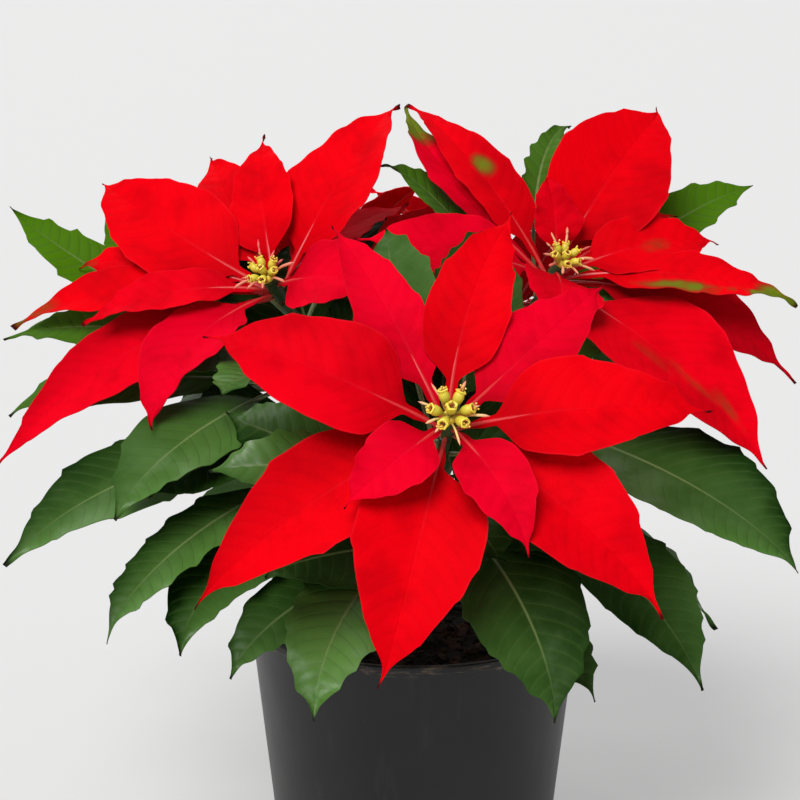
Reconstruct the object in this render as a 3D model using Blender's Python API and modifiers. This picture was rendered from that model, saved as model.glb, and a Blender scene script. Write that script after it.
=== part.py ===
"""A poinsettia in a tapered pot: potting mix, a short woody stem, five leafy stems, and on
each a bloom of red bracts round a cluster of small yellow-green flower cups.

Metres, +Z up. The origin is the middle of the pot's base, on the surface it stands on.
The front of the plant is towards -Y.
"""

import math
import random

import bmesh
import bpy
from mathutils import Matrix, Vector
from mathutils.bvhtree import BVHTree

MM = 0.001
UP = Vector((0, 0, 1))
GOLDEN_TURN = math.radians(137.5)
SEAT_GAP = 0.3 * MM

# Pot
POT_HEIGHT = 124 * MM
POT_RIM_RADIUS = 82 * MM
POT_BASE_RADIUS = 67 * MM
POT_WALL = 2.0 * MM
POT_FLOOR = 2.4 * MM
POT_EDGE = 0.8 * MM
POT_FOOT_CHAMFER = 1.6 * MM
RIM_BAND = 4 * MM
RIM_STEP = 1.0 * MM
DRAIN_HOLES = 6
DRAIN_RING_RADIUS = 40 * MM
DRAIN_HOLE_RADIUS = 5 * MM

# Soil
SOIL_TOP = 112 * MM
SOIL_DOME = 3 * MM
SOIL_LUMP = 1.2 * MM
SOIL_RINGS = 4
SOIL_SPOKES = 24

# Woody main stem: its height and radius, from its lower end in the soil to its cut top
STEM_RADIUS = 6.5 * MM
MAIN_STEM = [
    (60 * MM, STEM_RADIUS),
    (100 * MM, STEM_RADIUS),
    (125 * MM, 6.2 * MM),
    (150 * MM, 5.8 * MM),
    (165 * MM, 5.4 * MM),
    (168 * MM, 4.0 * MM),
]

# The crown is laid out as it is seen from the front and a little above. Places in it are
# (right, up, near) in millimetres from the middle of the crown, square to that sight line.
SIGHT_TILT = math.radians(14)
CROWN_MIDDLE = Vector((-7, 0, 232)) * MM
RIGHT = Vector((1, 0, 0))
OVER = Vector((0, math.sin(SIGHT_TILT), math.cos(SIGHT_TILT)))
NEAR = Vector((0, -math.cos(SIGHT_TILT), math.sin(SIGHT_TILT)))

# Blades: bracts and leaves
BLADE_STEPS = 8
BLADE_LANES = 2
EDGE_THICK = 0.75 * MM
RIB_THICK = 1.4 * MM
STALK_THICK = 2.4 * MM
STALK_HALF = 1.2 * MM
TIP_HALF = 0.6 * MM
CLEARANCE = 1.0 * MM

# Each bloom: the middle of its flower cups, the compass direction and the steepness of its
# axis in degrees, and where its stem leaves the main stem, as a height in millimetres.
BLOOMS = {
    "front": ((22, -8, 115), -84, 42, 136),
    "left": ((-64, 59, -5), 232, 48, 158),
    "right": ((79, 67, -20), -55, 50, 142),
    "back_left": ((-42, 56, -112), 118, 48, 144),
    "back_right": ((62, 54, -118), 58, 48, 158),
}

# The bracts that face the front: the tip's right, up and near, then the width and how far
# the midrib bows to its right, in millimetres.
BRACTS = {
    "front": [
        (-8, -126, 140, 58, 0),
        (116, -95, 130, 54, -3),
        (-92, -92, 125, 50, 4),
        (139, -5, 108, 48, 0),
        (-88, 30, 95, 54, -2),
        (-32, 82, 70, 31, 0),
        (54, 86, 68, 38, -7),
        (94, 54, 78, 38, 2),
        (56, -68, 142, 32, -3),
        (-25, -47, 138, 32, 0),
    ],
    "left": [
        (-197, -34, -12, 50, 5),
        (-118, -15, 40, 46, 9),
        (-2, 149, -48, 54, 5),
        (-152, 112, -72, 52, -6),
        (-70, 134, -58, 36, 0),
        (-194, 36, -38, 29, 4),
        (-98, 125, -86, 42, 0),
        (-164, 68, -56, 34, 2),
        (-7, 55, 30, 42, 0),
        (-155, 36, -14, 26, 3),
        (6, 99, -66, 36, 0),
    ],
    "right": [
        (176, -33, 20, 72, 3),
        (196, 7, -25, 46, -9),
        (4, 152, -75, 36, -3),
        (137, 149, -90, 60, -4),
        (-23, 78, 6, 46, -4),
        (160, 79, -56, 34, 0),
        (197, 47, -34, 28, -3),
        (74, 32, 32, 42, 0),
        (141, 96, -96, 40, 0),
        (72, 112, -34, 26, 0),
        (3, 152, -92, 26, -20),
    ],
    "back_left": [
        (14, 113, -84, 36, 0),
    ],
}

# The back blooms follow the spiral that the plant grows its bracts in.
SPIRAL_BRACTS = 11
SPIRAL_REACH = (108 * MM, 52 * MM)
SPIRAL_RISE = (math.radians(-10), math.radians(28))

# The leaves that face the front: tip, width and bow as above, then how far up its stem each
# one grows.
LEAVES = {
    "front": [
        (-38, -143, 112, 44, 10, 0.40),
        (69, -143, 118, 54, -8, 0.62),
        (-87, -32, 92, 30, 0, 0.74),
        (90, -137, 84, 32, -4, 0.28),
        (-79, -128, 72, 34, 8, 0.24),
        (-6, 82, 5, 42, 0, 0.82),
        (40, 84, -10, 48, 0, 0.72),
        (-62, -80, 80, 40, 0, 0.34),
        (104, -64, 84, 40, 0, 0.58),
        (-82, -8, 44, 40, 0, 0.56),
        (20, 42, 36, 78, 0, 0.66),
    ],
    "left": [
        (-184, -78, 50, 46, 8, 0.46),
        (-132, -55, 85, 48, 4, 0.66),
        (-136, -111, 78, 42, 8, 0.36),
        (-102, -118, 70, 48, 13, 0.22),
        (-194, -6, 0, 34, 4, 0.60),
        (-198, 31, -16, 24, 0, 0.74),
        (-84, 2, 60, 30, 0, 0.70),
        (-16, 48, 14, 36, 0, 0.56),
        (-104, -12, 34, 44, 0, 0.48),
        (-112, 16, 20, 40, 0, 0.80),
        (-8, 94, -40, 34, 0, 0.84),
        (-116, -46, 56, 44, 0, 0.50),
        (-58, 80, -50, 56, 0, 0.50),
    ],
    "right": [
        (185, -80, 60, 62, -3, 0.54),
        (139, -134, 66, 50, -8, 0.34),
        (90, 145, -112, 20, -13, 0.92),
        (-9, 118, -36, 28, 4, 0.84),
        (104, 60, -10, 42, 0, 0.66),
    ],
    "back_left": [
        (-201, 99, -70, 36, -13, 0.62),
        (-156, 99, -112, 36, -15, 0.80),
        (-84, -28, 6, 44, 0, 0.40),
        (-98, 60, -40, 44, 0, 0.80),
    ],
    "back_right": [
        (186, 112, -104, 44, -3, 0.82),
    ],
}
SPIRAL_LEAVES = {"left": 3, "right": 3, "back_left": 6, "back_right": 6}
LEAF_REACH = (105 * MM, 150 * MM)

# For each kind of blade: the share of it that is stalk, how high it arches for its length,
# and how sharply it is drawn out to its tip.
KINDS = {"bract": (0.13, 0.14, 1.5), "leaf": (0.26, 0.15, 1.35)}
STEM_FOOT_RADIUS = 3.6 * MM
STEM_HEAD_RADIUS = 2.7 * MM
STEM_POINTS = 12
HUB_LENGTH = 16 * MM
HUB_RADIUS = 3.6 * MM

# A blade may touch its own node's stem this near its root, and the stem under its bloom.
OWN_STEM_REACH = 22 * MM
LOWER_STEM_REACH = 9 * MM

# Flower cups: a low dome on the hub carries them
DOME_RADIUS = 2.6 * MM
DOME_HEIGHT = 3.2 * MM
CUPS = 7
CUP_FOOT_HALF = 0.8 * MM
CUP_RADIUS = 2.7 * MM
CUP_LENGTH = 6.5 * MM
CUP_RING = 7.0 * MM
CUP_RISE = 8.0 * MM


def crown_place(right, up, near):
    """A place in the crown, from its (right, up, near) in millimetres."""
    return CROWN_MIDDLE + (RIGHT * right + OVER * up + NEAR * near) * MM


def compass(azimuth, steepness):
    """The unit vector at that compass direction and steepness, in degrees."""
    a, s = math.radians(azimuth), math.radians(steepness)
    return Vector((math.cos(a) * math.cos(s), math.sin(a) * math.cos(s), math.sin(s)))


def ring_direction(axis, turn):
    """The unit vector square to the axis, at that turn round it."""
    side = axis.cross(UP).normalized()
    return side * math.cos(turn) + side.cross(axis) * math.sin(turn)


def mix(a, b, share):
    return a + (b - a) * share


def bezier(p0, p1, p2, p3, s):
    r = 1 - s
    return p0 * r**3 + p1 * (3 * r * r * s) + p2 * (3 * r * s * s) + p3 * s**3


def bezier_slope(p0, p1, p2, p3, s):
    r = 1 - s
    return (p1 - p0) * (3 * r * r) + (p2 - p1) * (6 * r * s) + (p3 - p2) * (3 * s * s)


class Blade:
    """One bract or leaf: a stalk, then a pointed blade, along an arched midrib."""

    def __init__(self, kind, root, tip, face, width, bow, chance):
        self.root, self.tip, self.face = root, tip, face.normalized()
        self.width, self.bow = width, bow
        self.stalk, self.lift, self.taper = KINDS[kind]
        self.fold = chance.uniform(0.08, 0.26)
        self.wave = chance.uniform(0.5, 1.6) * MM
        self.phase = chance.uniform(0, 2 * math.pi)

    def controls(self):
        span = self.tip - self.root
        rise = self.face * (self.lift * span.length)
        sway = span.normalized().cross(self.face).normalized() * (self.bow * 1.4)
        return (
            self.root,
            self.root + span * 0.30 + rise + sway,
            self.root + span * 0.74 + rise * 0.9 + sway,
            self.tip,
        )

    def half_width(self, s):
        """Narrow along the stalk, widest a third of the way up the blade, drawn to a point."""
        u = max(0.0, (s - self.stalk) / (1 - self.stalk))
        widest = 0.8 / (0.8 + self.taper)
        shape = u**0.8 * (1 - u) ** self.taper
        shape /= widest**0.8 * (1 - widest) ** self.taper
        return max(mix(STALK_HALF, TIP_HALF, u), self.width / 2 * shape)

    def point(self, s, t, off=0.0):
        """The point s along the midrib and t across, from -1 to 1, off above the middle."""
        controls = self.controls()
        along = bezier_slope(*controls, s).normalized()
        side = along.cross(self.face).normalized()
        normal = side.cross(along)
        half = self.half_width(s)
        u = max(0.0, (s - self.stalk) / (1 - self.stalk))
        ease = min(1.0, u / 0.25)
        height = ease * half * self.fold * abs(t)
        height += ease * self.wave * t * t * math.sin(5.2 * math.pi * s + self.phase + t)
        return bezier(*controls, s) + side * (half * t) + normal * (height + off)


def grid_on(bm, blade, steps, lanes, off):
    """Adds a grid to bm and lays it along the blade, off above its middle."""
    made = bmesh.ops.create_grid(bm, x_segments=steps, y_segments=lanes, size=1)["verts"]
    for vert in made:
        s, t = (vert.co.x + 1) / 2, vert.co.y
        vert.co = blade.point(s, t, off)
    return made


def blade_tree(blade):
    """A tree of the blade's two faces, each held off the middle by the clearance."""
    bm = bmesh.new()
    for off in (-CLEARANCE, CLEARANCE):
        grid_on(bm, blade, BLADE_STEPS, BLADE_LANES, off)
    corners = [v.co.copy() for v in bm.verts]
    tree = BVHTree.FromBMesh(bm)
    bm.free()
    low = Vector([min(c[k] for c in corners) for k in range(3)])
    high = Vector([max(c[k] for c in corners) for k in range(3)])
    return tree, low, high, corners


def outer_tree(blade):
    """The same for the part of the blade that is well clear of its own stem."""
    bm = bmesh.new()
    for off in (-CLEARANCE / 2, CLEARANCE / 2):
        grid_on(bm, blade, BLADE_STEPS, BLADE_LANES, off)
    start = blade.point(0.30, 0)
    near_root = (start - blade.root).length
    inner = [v for v in bm.verts if (v.co - blade.root).length < near_root]
    bmesh.ops.delete(bm, geom=inner, context="VERTS")
    tree = BVHTree.FromBMesh(bm)
    bm.free()
    return tree


class Crown:
    """Keeps what is placed, and moves each new blade a little until it is clear."""

    def __init__(self):
        self.placed, self.stems, self.report = [], {}, []

    def add_stem(self, name, points, radii):
        shares = [k / (4 * STEM_POINTS) for k in range(4 * STEM_POINTS + 1)]
        self.stems[name] = [(along_path(points, s), mix(radii[0], radii[-1], s)) for s in shares]

    def add_flowers(self, name, middle, axis):
        spots = [middle + axis * CUP_RISE]
        for k in range(12):
            spots.append(spots[0] + ring_direction(axis, math.pi * k / 6) * CUP_RING)
        self.stems[name] = [(spot, CUP_RADIUS) for spot in spots]

    def blocked(self, name, blade):
        tree, low, high, corners = blade_tree(blade)
        rim = POT_RIM_RADIUS + 2 * CLEARANCE
        if any(c.z < POT_HEIGHT + CLEARANCE and c.xy.length < rim for c in corners):
            return True
        for other, points in self.stems.items():
            own = 0.0
            if other == name:
                own = OWN_STEM_REACH
            elif other == name.replace("bracts", "leafy_stem"):
                own = LOWER_STEM_REACH
            for point, radius in points:
                away = radius + CLEARANCE
                if any(not low[k] - away < point[k] < high[k] + away for k in range(3)):
                    continue
                if (point - blade.root).length < own:
                    continue
                if tree.find_nearest(point, away)[0] is not None:
                    return True
        for other, other_tree, _, other_low, other_high in self.placed:
            apart = any(low[k] > other_high[k] or high[k] < other_low[k] for k in range(3))
            if other != name and not apart and tree.overlap(other_tree):
                return True
        return False

    def crossings(self, name, blade):
        outer = outer_tree(blade)
        return sum(
            1 for other, _, other_outer, _, _ in self.placed
            if other == name and outer.overlap(other_outer)
        )

    def settle(self, name, blade, label, push, reach=6, stride=5 * MM):
        """Tries the blade as drawn, then a little along push and to the side, then shorter."""
        wanted = blade.tip.copy()
        side = (wanted - blade.root).cross(push).normalized()
        tries = sorted(
            ((a, b) for a in range(-reach, reach + 1) for b in range(-3, 4)),
            key=lambda ab: (abs(ab[0]) + 2 * abs(ab[1]), ab),
        )
        best = None
        for share in (1.0, 0.88, 0.76, 0.62):
            for a, b in tries:
                moved = wanted + push * (a * stride) + side * (b * stride)
                blade.tip = blade.root + (moved - blade.root) * share
                if self.blocked(name, blade):
                    continue
                count = self.crossings(name, blade)
                if best is None or count < best[0]:
                    best = (count, blade.tip.copy(), (share, a, b))
                if count == 0:
                    break
            if best is not None:
                break
        if best is None:
            self.report.append((label, "left out"))
            return False
        blade.tip = best[1]
        if best[2] != (1.0, 0, 0) or best[0]:
            self.report.append((label, best[2], best[0]))
        tree, low, high, _ = blade_tree(blade)
        self.placed.append((name, tree, outer_tree(blade), low, high))
        return True


def stem_path(name):
    """The middle line and radius of a leafy stem, from the main stem to below its bloom."""
    place, azimuth, steepness, height = BLOOMS[name]
    axis = compass(azimuth, steepness)
    head = crown_place(*place) - axis * (HUB_LENGTH + SEAT_GAP)
    foot = Vector((0, 0, height * MM))
    outward = Vector((head.x, head.y, 0)).normalized()
    span = (head - foot).length
    first = foot + (outward * 0.8 + UP * 0.6) * span * 0.30
    second = head - axis * span * 0.34
    shares = [k / (STEM_POINTS - 1) for k in range(STEM_POINTS)]
    points = [bezier(foot, first, second, head, s) for s in shares]
    radii = [mix(STEM_FOOT_RADIUS, STEM_HEAD_RADIUS, s) for s in shares]
    return points, radii


def along_path(points, share):
    whole = share * (len(points) - 1)
    k = min(int(whole), len(points) - 2)
    return points[k].lerp(points[k + 1], whole - k)


def bract(name, tip, width, bow, chance):
    """A bract grows from the side of the hub: the longer it is, the lower down."""
    place, azimuth, steepness, _ = BLOOMS[name]
    axis, middle = compass(azimuth, steepness), crown_place(*place)
    out = tip - middle
    out = (out - axis * out.dot(axis)).normalized()
    drop = mix(5 * MM, 14 * MM, min(1.0, max(0.0, ((tip - middle).length / MM - 60) / 70)))
    root = middle - axis * drop + out * 1.2 * MM
    return Blade("bract", root, tip, axis, width, bow, chance)


def leaf(points, share, tip, width, bow, towards, chance):
    """A leaf that faces up, outward, and by that much towards the front."""
    root = along_path(points, share)
    out = Vector((tip.x, tip.y, 0)).normalized()
    face = UP * 0.6 + out * 0.5 + NEAR * towards
    return Blade("leaf", root, tip, face, width, bow, chance)


def plan_crown():
    """Every blade of the crown, settled clear of the others: {node name: [blades]}."""
    crown, blades, paths = Crown(), {}, {}
    for name in BLOOMS:
        paths[name] = stem_path(name)
        crown.add_stem("leafy_stem_" + name, *paths[name])
        place, azimuth, steepness, _ = BLOOMS[name]
        crown.add_flowers("flowers_" + name, crown_place(*place), compass(azimuth, steepness))
    for name, rows in BRACTS.items():
        node, chance = "bracts_" + name, random.Random("bracts " + name)
        for k, (right, up, near, width, bow) in enumerate(rows):
            blade = bract(name, crown_place(right, up, near), width * MM, bow * MM, chance)
            if crown.settle(node, blade, f"{node} {k}", NEAR):
                blades.setdefault(node, []).append(blade)
    for name, rows in LEAVES.items():
        node, chance = "leafy_stem_" + name, random.Random("leaves " + name)
        for k, (right, up, near, width, bow, share) in enumerate(rows):
            tip = crown_place(right, up, near)
            blade = leaf(paths[name][0], share, tip, width * MM, bow * MM, 0.6, chance)
            if crown.settle(node, blade, f"{node} {k}", NEAR):
                blades.setdefault(node, []).append(blade)
    for name in ("back_left", "back_right"):
        spiral_bracts(crown, blades, name)
    for name, count in SPIRAL_LEAVES.items():
        spiral_leaves(crown, blades, paths, name, count)
    return crown, blades, paths


def spiral_bracts(crown, blades, name):
    place, azimuth, steepness, _ = BLOOMS[name]
    node, chance = "bracts_" + name, random.Random("bracts " + name)
    axis, middle = compass(azimuth, steepness), crown_place(*place)
    for k in range(SPIRAL_BRACTS):
        share = k / (SPIRAL_BRACTS - 1)
        turn = k * GOLDEN_TURN + chance.uniform(-0.12, 0.12)
        rise = mix(*SPIRAL_RISE, share)
        reach = mix(*SPIRAL_REACH, share) * chance.uniform(0.92, 1.06)
        out = ring_direction(axis, turn)
        tip = middle + out * (reach * math.cos(rise)) + axis * (reach * math.sin(rise))
        width, bow = reach * chance.uniform(0.40, 0.46), reach * chance.uniform(-0.08, 0.08)
        blade = bract(name, tip, width, bow, chance)
        if crown.settle(node, blade, f"{node} {k}", axis):
            blades.setdefault(node, []).append(blade)


def spiral_leaves(crown, blades, paths, name, count):
    """Leaves on the side of the stem that looks away from the plant's middle and the front."""
    node, chance = "leafy_stem_" + name, random.Random("more leaves " + name)
    points = paths[name][0]
    away = {"left": 150, "right": 30}.get(name, BLOOMS[name][1])
    for k in range(count):
        share = mix(0.30, 0.88, (k + 0.5) / count)
        fan = ((k * 137.5) % 200) - 100 if count > 3 else (k - 1) * 42
        out = compass(away + fan + chance.uniform(-8, 8), 0)
        reach = chance.uniform(*LEAF_REACH) * mix(1.05, 0.85, share)
        root = along_path(points, share)
        droop = chance.uniform(0.15, 0.75) * mix(1.1, 0.3, share)
        tip = root + out * (reach * math.cos(droop)) - UP * (reach * math.sin(droop))
        width, bow = reach * chance.uniform(0.34, 0.42), reach * chance.uniform(-0.06, 0.06)
        blade = leaf(points, share, tip, width, bow, 0.0, chance)
        if crown.settle(node, blade, f"{node} more {k}", UP, 8):
            blades.setdefault(node, []).append(blade)


def material(name, colour, roughness, metallic=0.0):
    made = bpy.data.materials.new(name)
    made.use_nodes = True
    shader = made.node_tree.nodes["Principled BSDF"]
    shader.inputs["Base Color"].default_value = (*colour, 1)
    shader.inputs["Roughness"].default_value = roughness
    shader.inputs["Metallic"].default_value = metallic
    return made


def new_object(name, mesh, collection, finish=None):
    made = bpy.data.objects.new(name, mesh)
    collection.objects.link(made)
    if finish:
        mesh.materials.clear()
        mesh.materials.append(finish)
    return made


def mesh_from(bm, name):
    mesh = bpy.data.meshes.new(name)
    bm.to_mesh(mesh)
    bm.free()
    return mesh


def blade_object(blade, name, collection):
    """The blade as a thin closed solid: a grid in triangles, thickened most at rib and stalk."""
    bm = bmesh.new()
    grid_on(bm, blade, BLADE_STEPS, BLADE_LANES, 0)
    bmesh.ops.triangulate(bm, faces=bm.faces)
    made = new_object(name, mesh_from(bm, name), collection)
    group = made.vertex_groups.new(name="thickness")
    lanes = BLADE_LANES + 1
    for k in range(len(made.data.vertices)):
        s = (k % (BLADE_STEPS + 1)) / BLADE_STEPS
        middle = k // (BLADE_STEPS + 1) == lanes // 2
        thick = RIB_THICK if middle and s < 0.9 else EDGE_THICK
        if s <= blade.stalk:
            thick = STALK_THICK
        group.add([k], thick / STALK_THICK, "REPLACE")
    shell = made.modifiers.new("thickness", "SOLIDIFY")
    shell.thickness = STALK_THICK
    shell.offset = 0
    shell.vertex_group = group.name
    return made


def tube_mesh(name, points, radii, sides_step=2):
    """A tapered tube along the points, as a closed mesh."""
    curve = bpy.data.curves.new(name, "CURVE")
    curve.dimensions = "3D"
    curve.bevel_depth = 1.0
    curve.bevel_resolution = sides_step
    curve.use_fill_caps = True
    spline = curve.splines.new("POLY")
    spline.points.add(len(points) - 1)
    for spot, place, radius in zip(spline.points, points, radii):
        spot.co = (*place, 1)
        spot.radius = radius
    guide = bpy.data.objects.new(name, curve)
    bpy.context.scene.collection.objects.link(guide)
    bpy.context.view_layer.update()
    mesh = bpy.data.meshes.new_from_object(
        guide.evaluated_get(bpy.context.evaluated_depsgraph_get())
    )
    bpy.data.objects.remove(guide)
    bm = bmesh.new()
    bm.from_mesh(mesh)
    bmesh.ops.remove_doubles(bm, verts=bm.verts, dist=1e-6)
    bm.to_mesh(mesh)
    bm.free()
    return mesh


def applied(obj):
    """The object with its modifiers made part of its mesh."""
    bpy.context.view_layer.update()
    graph = bpy.context.evaluated_depsgraph_get()
    mesh = bpy.data.meshes.new_from_object(obj.evaluated_get(graph))
    obj.modifiers.clear()
    obj.data = mesh
    return obj


def fuse(obj, collection):
    """Joins every object of the collection to obj in one solid, and removes them."""
    join = obj.modifiers.new("grown together", "BOOLEAN")
    join.operation = "UNION"
    join.solver = "EXACT"
    join.operand_type = "COLLECTION"
    join.collection = collection
    applied(obj)
    for piece in list(collection.objects):
        bpy.data.objects.remove(piece)
    bpy.data.collections.remove(collection)
    return obj


def cut(obj, cutter):
    """Cuts the cutter's shape from obj, and removes the cutter."""
    away = obj.modifiers.new("cut", "BOOLEAN")
    away.operation = "DIFFERENCE"
    away.solver = "EXACT"
    away.object = cutter
    applied(obj)
    bpy.data.objects.remove(cutter)
    return obj


def pieces_collection(name):
    made = bpy.data.collections.new(name)
    bpy.context.scene.collection.children.link(made)
    return made


def turned(name, profile, steps, collection, finish):
    """A shape turned round Z from its (radius, height) profile, listed down its outer side."""
    bm = bmesh.new()
    spots = [bm.verts.new((radius, 0, height)) for radius, height in profile]
    for first, second in zip(spots, spots[1:]):
        bm.edges.new((first, second))
    made = new_object(name, mesh_from(bm, name), collection, finish)
    screw = made.modifiers.new("turned", "SCREW")
    screw.steps = screw.render_steps = steps
    screw.use_merge_vertices = True
    screw.merge_threshold = 1e-5
    return made


def pot_radius(height):
    """The outer radius of the pot's wall, below its rim band."""
    return mix(POT_BASE_RADIUS, POT_RIM_RADIUS - RIM_STEP, height / POT_HEIGHT)


def pot_inner_radius(height):
    return pot_radius(height) - POT_WALL


def make_pot(collection):
    finish = material("pot_plastic", (0.055, 0.055, 0.06), 0.55)
    band = POT_HEIGHT - RIM_BAND
    profile = [
        (0, POT_FLOOR),
        (pot_inner_radius(POT_FLOOR), POT_FLOOR),
        (pot_inner_radius(POT_HEIGHT), POT_HEIGHT),
        (POT_RIM_RADIUS - POT_EDGE, POT_HEIGHT),
        (POT_RIM_RADIUS, POT_HEIGHT - POT_EDGE),
        (POT_RIM_RADIUS, band),
        (pot_radius(band), band),
        (pot_radius(POT_FOOT_CHAMFER), POT_FOOT_CHAMFER),
        (POT_BASE_RADIUS - POT_FOOT_CHAMFER, 0),
        (0, 0),
    ]
    pot = turned("pot", profile, 40, collection, finish)
    applied(pot)
    for k in range(DRAIN_HOLES):
        turn = 2 * math.pi * k / DRAIN_HOLES
        bpy.ops.mesh.primitive_cylinder_add(
            vertices=12,
            radius=DRAIN_HOLE_RADIUS,
            depth=4 * POT_FLOOR,
            location=(
                DRAIN_RING_RADIUS * math.cos(turn),
                DRAIN_RING_RADIUS * math.sin(turn),
                0,
            ),
        )
        cut(pot, bpy.context.object)
    pot.data.materials.clear()
    pot.data.materials.append(finish)
    pot.data.set_sharp_from_angle(angle=math.radians(35))
    return pot


def make_soil(collection):
    """Potting mix that fills the pot, a little lumpy on top, with a plain hole for the stem."""
    finish = material("potting_mix", (0.035, 0.022, 0.015), 0.95)
    low = POT_FLOOR + SEAT_GAP
    edge = pot_inner_radius(SOIL_TOP) - SEAT_GAP
    rings = [k / SOIL_RINGS for k in range(SOIL_RINGS + 1)]
    profile = [(edge * s, SOIL_TOP + SOIL_DOME * (1 - s * s)) for s in rings]
    profile += [(pot_inner_radius(low) - SEAT_GAP, low), (0, low)]
    soil = turned("soil", profile, SOIL_SPOKES, collection, finish)
    applied(soil)
    chance = random.Random("soil")
    for vert in soil.data.vertices:
        if vert.co.z > SOIL_TOP - 0.1 * MM and vert.co.xy.length < edge * 0.98:
            vert.co.z += chance.uniform(-SOIL_LUMP, SOIL_LUMP)
    points = [Vector((0, 0, MAIN_STEM[0][0] - SEAT_GAP)), Vector((0, 0, MAIN_STEM[-1][0]))]
    hole = tube_mesh("stem_hole", points, [STEM_RADIUS + SEAT_GAP] * 2, 4)
    cut(soil, new_object("stem_hole", hole, collection))
    soil.data.materials.clear()
    soil.data.materials.append(finish)
    return soil


def make_main_stem(collection):
    finish = material("bark", (0.16, 0.12, 0.06), 0.85)
    points = [Vector((0, 0, height)) for height, _ in MAIN_STEM]
    mesh = tube_mesh("main_stem", points, [radius for _, radius in MAIN_STEM], 4)
    stem = new_object("main_stem", mesh, collection, finish)
    stem.data.shade_smooth()
    return stem


def make_leafy_stem(name, path, blades, collection, finish):
    points, radii = path
    node = "leafy_stem_" + name
    stem = new_object(node, tube_mesh(node, points, radii), collection)
    leaves = pieces_collection(node + "_leaves")
    for k, blade in enumerate(blades):
        blade_object(blade, f"{node}_{k}", leaves)
    fuse(stem, leaves)
    heights = [height for height, _ in MAIN_STEM]
    heights[-1] += SEAT_GAP
    core = tube_mesh(
        "core",
        [Vector((0, 0, height)) for height in heights],
        [radius + SEAT_GAP for _, radius in MAIN_STEM],
        4,
    )
    cut(stem, new_object("core", core, collection))
    stem.data.materials.clear()
    stem.data.materials.append(finish)
    return stem


def turn_to(axis, place):
    """A matrix that stands +Z along the axis, at the place."""
    return Matrix.Translation(place) @ axis.to_track_quat("Z", "Y").to_matrix().to_4x4()


def make_bracts(name, blades, collection, finish):
    place, azimuth, steepness, _ = BLOOMS[name]
    axis, middle = compass(azimuth, steepness), crown_place(*place)
    node = "bracts_" + name
    bm = bmesh.new()
    bmesh.ops.create_cone(
        bm,
        cap_ends=True,
        segments=10,
        radius1=STEM_HEAD_RADIUS + 0.4 * MM,
        radius2=HUB_RADIUS,
        depth=HUB_LENGTH,
        matrix=turn_to(axis, middle - axis * HUB_LENGTH / 2),
    )
    hub = new_object(node, mesh_from(bm, node), collection)
    leaves = pieces_collection(node + "_blades")
    for k, blade in enumerate(blades):
        blade_object(blade, f"{node}_{k}", leaves)
    fuse(hub, leaves)
    hub.data.materials.clear()
    hub.data.materials.append(finish)
    return hub


def make_flowers(name, collection, finish):
    """A low dome with the flower cups on it: one in the middle and a ring that leans out."""
    place, azimuth, steepness, _ = BLOOMS[name]
    axis, middle = compass(azimuth, steepness), crown_place(*place)
    node = "flowers_" + name
    chance = random.Random(node)
    bm = bmesh.new()
    bmesh.ops.create_cone(
        bm,
        cap_ends=True,
        segments=10,
        radius1=HUB_RADIUS,
        radius2=DOME_RADIUS,
        depth=DOME_HEIGHT,
        matrix=turn_to(axis, middle + axis * (DOME_HEIGHT / 2 + SEAT_GAP)),
    )
    dome = new_object(node, mesh_from(bm, node), collection)
    cups = pieces_collection(node + "_cups")
    for k in range(CUPS):
        turn = 2 * math.pi * k / (CUPS - 1) + chance.uniform(-0.15, 0.15)
        out = ring_direction(axis, turn) if k < CUPS - 1 else Vector()
        rise = CUP_RISE + chance.uniform(-1, 1) * MM
        foot = middle + axis * DOME_HEIGHT / 2
        cup = flower_cup(foot, middle + out * CUP_RING + axis * rise)
        new_object(f"{node}_{k}", mesh_from(cup, node), cups)
    fuse(dome, cups)
    dome.data.materials.clear()
    dome.data.materials.append(finish)
    return dome


def flower_cup(foot, belly):
    """A cup on a stalk: a ball whose lowest point is drawn down to the foot."""
    along = (belly - foot).normalized()
    cup = bmesh.new()
    bmesh.ops.create_uvsphere(cup, u_segments=6, v_segments=4, radius=1)
    reach = (belly - foot).length
    for vert in cup.verts:
        if vert.co.z < -0.5:
            narrow = CUP_FOOT_HALF / CUP_RADIUS / max(vert.co.xy.length, 1e-6)
            if vert.co.z > -0.99:
                vert.co.x *= narrow
                vert.co.y *= narrow
            else:
                vert.co.z = -reach / (CUP_LENGTH / 2)
    stretch = Matrix.Diagonal((CUP_RADIUS, CUP_RADIUS, CUP_LENGTH / 2, 1))
    bmesh.ops.transform(cup, matrix=turn_to(along, belly) @ stretch, verts=cup.verts)
    return cup


def main():
    for old in list(bpy.data.objects):
        bpy.data.objects.remove(old)
    collection = pieces_collection("poinsettia")
    green = material("leaf_green", (0.03, 0.10, 0.02), 0.5)
    red = material("bract_red", (0.62, 0.004, 0.012), 0.5)
    yellow = material("flower_yellow", (0.55, 0.50, 0.05), 0.5)
    crown, blades, paths = plan_crown()
    for row in crown.report:
        print("moved to clear the others:", *row)
    make_pot(collection)
    make_soil(collection)
    make_main_stem(collection)
    for name in BLOOMS:
        node = "leafy_stem_" + name
        make_leafy_stem(name, paths[name], blades.get(node, []), collection, green)
        make_bracts(name, blades["bracts_" + name], collection, red)
        make_flowers(name, collection, yellow)


if __name__ == "__main__":
    main()
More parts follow.
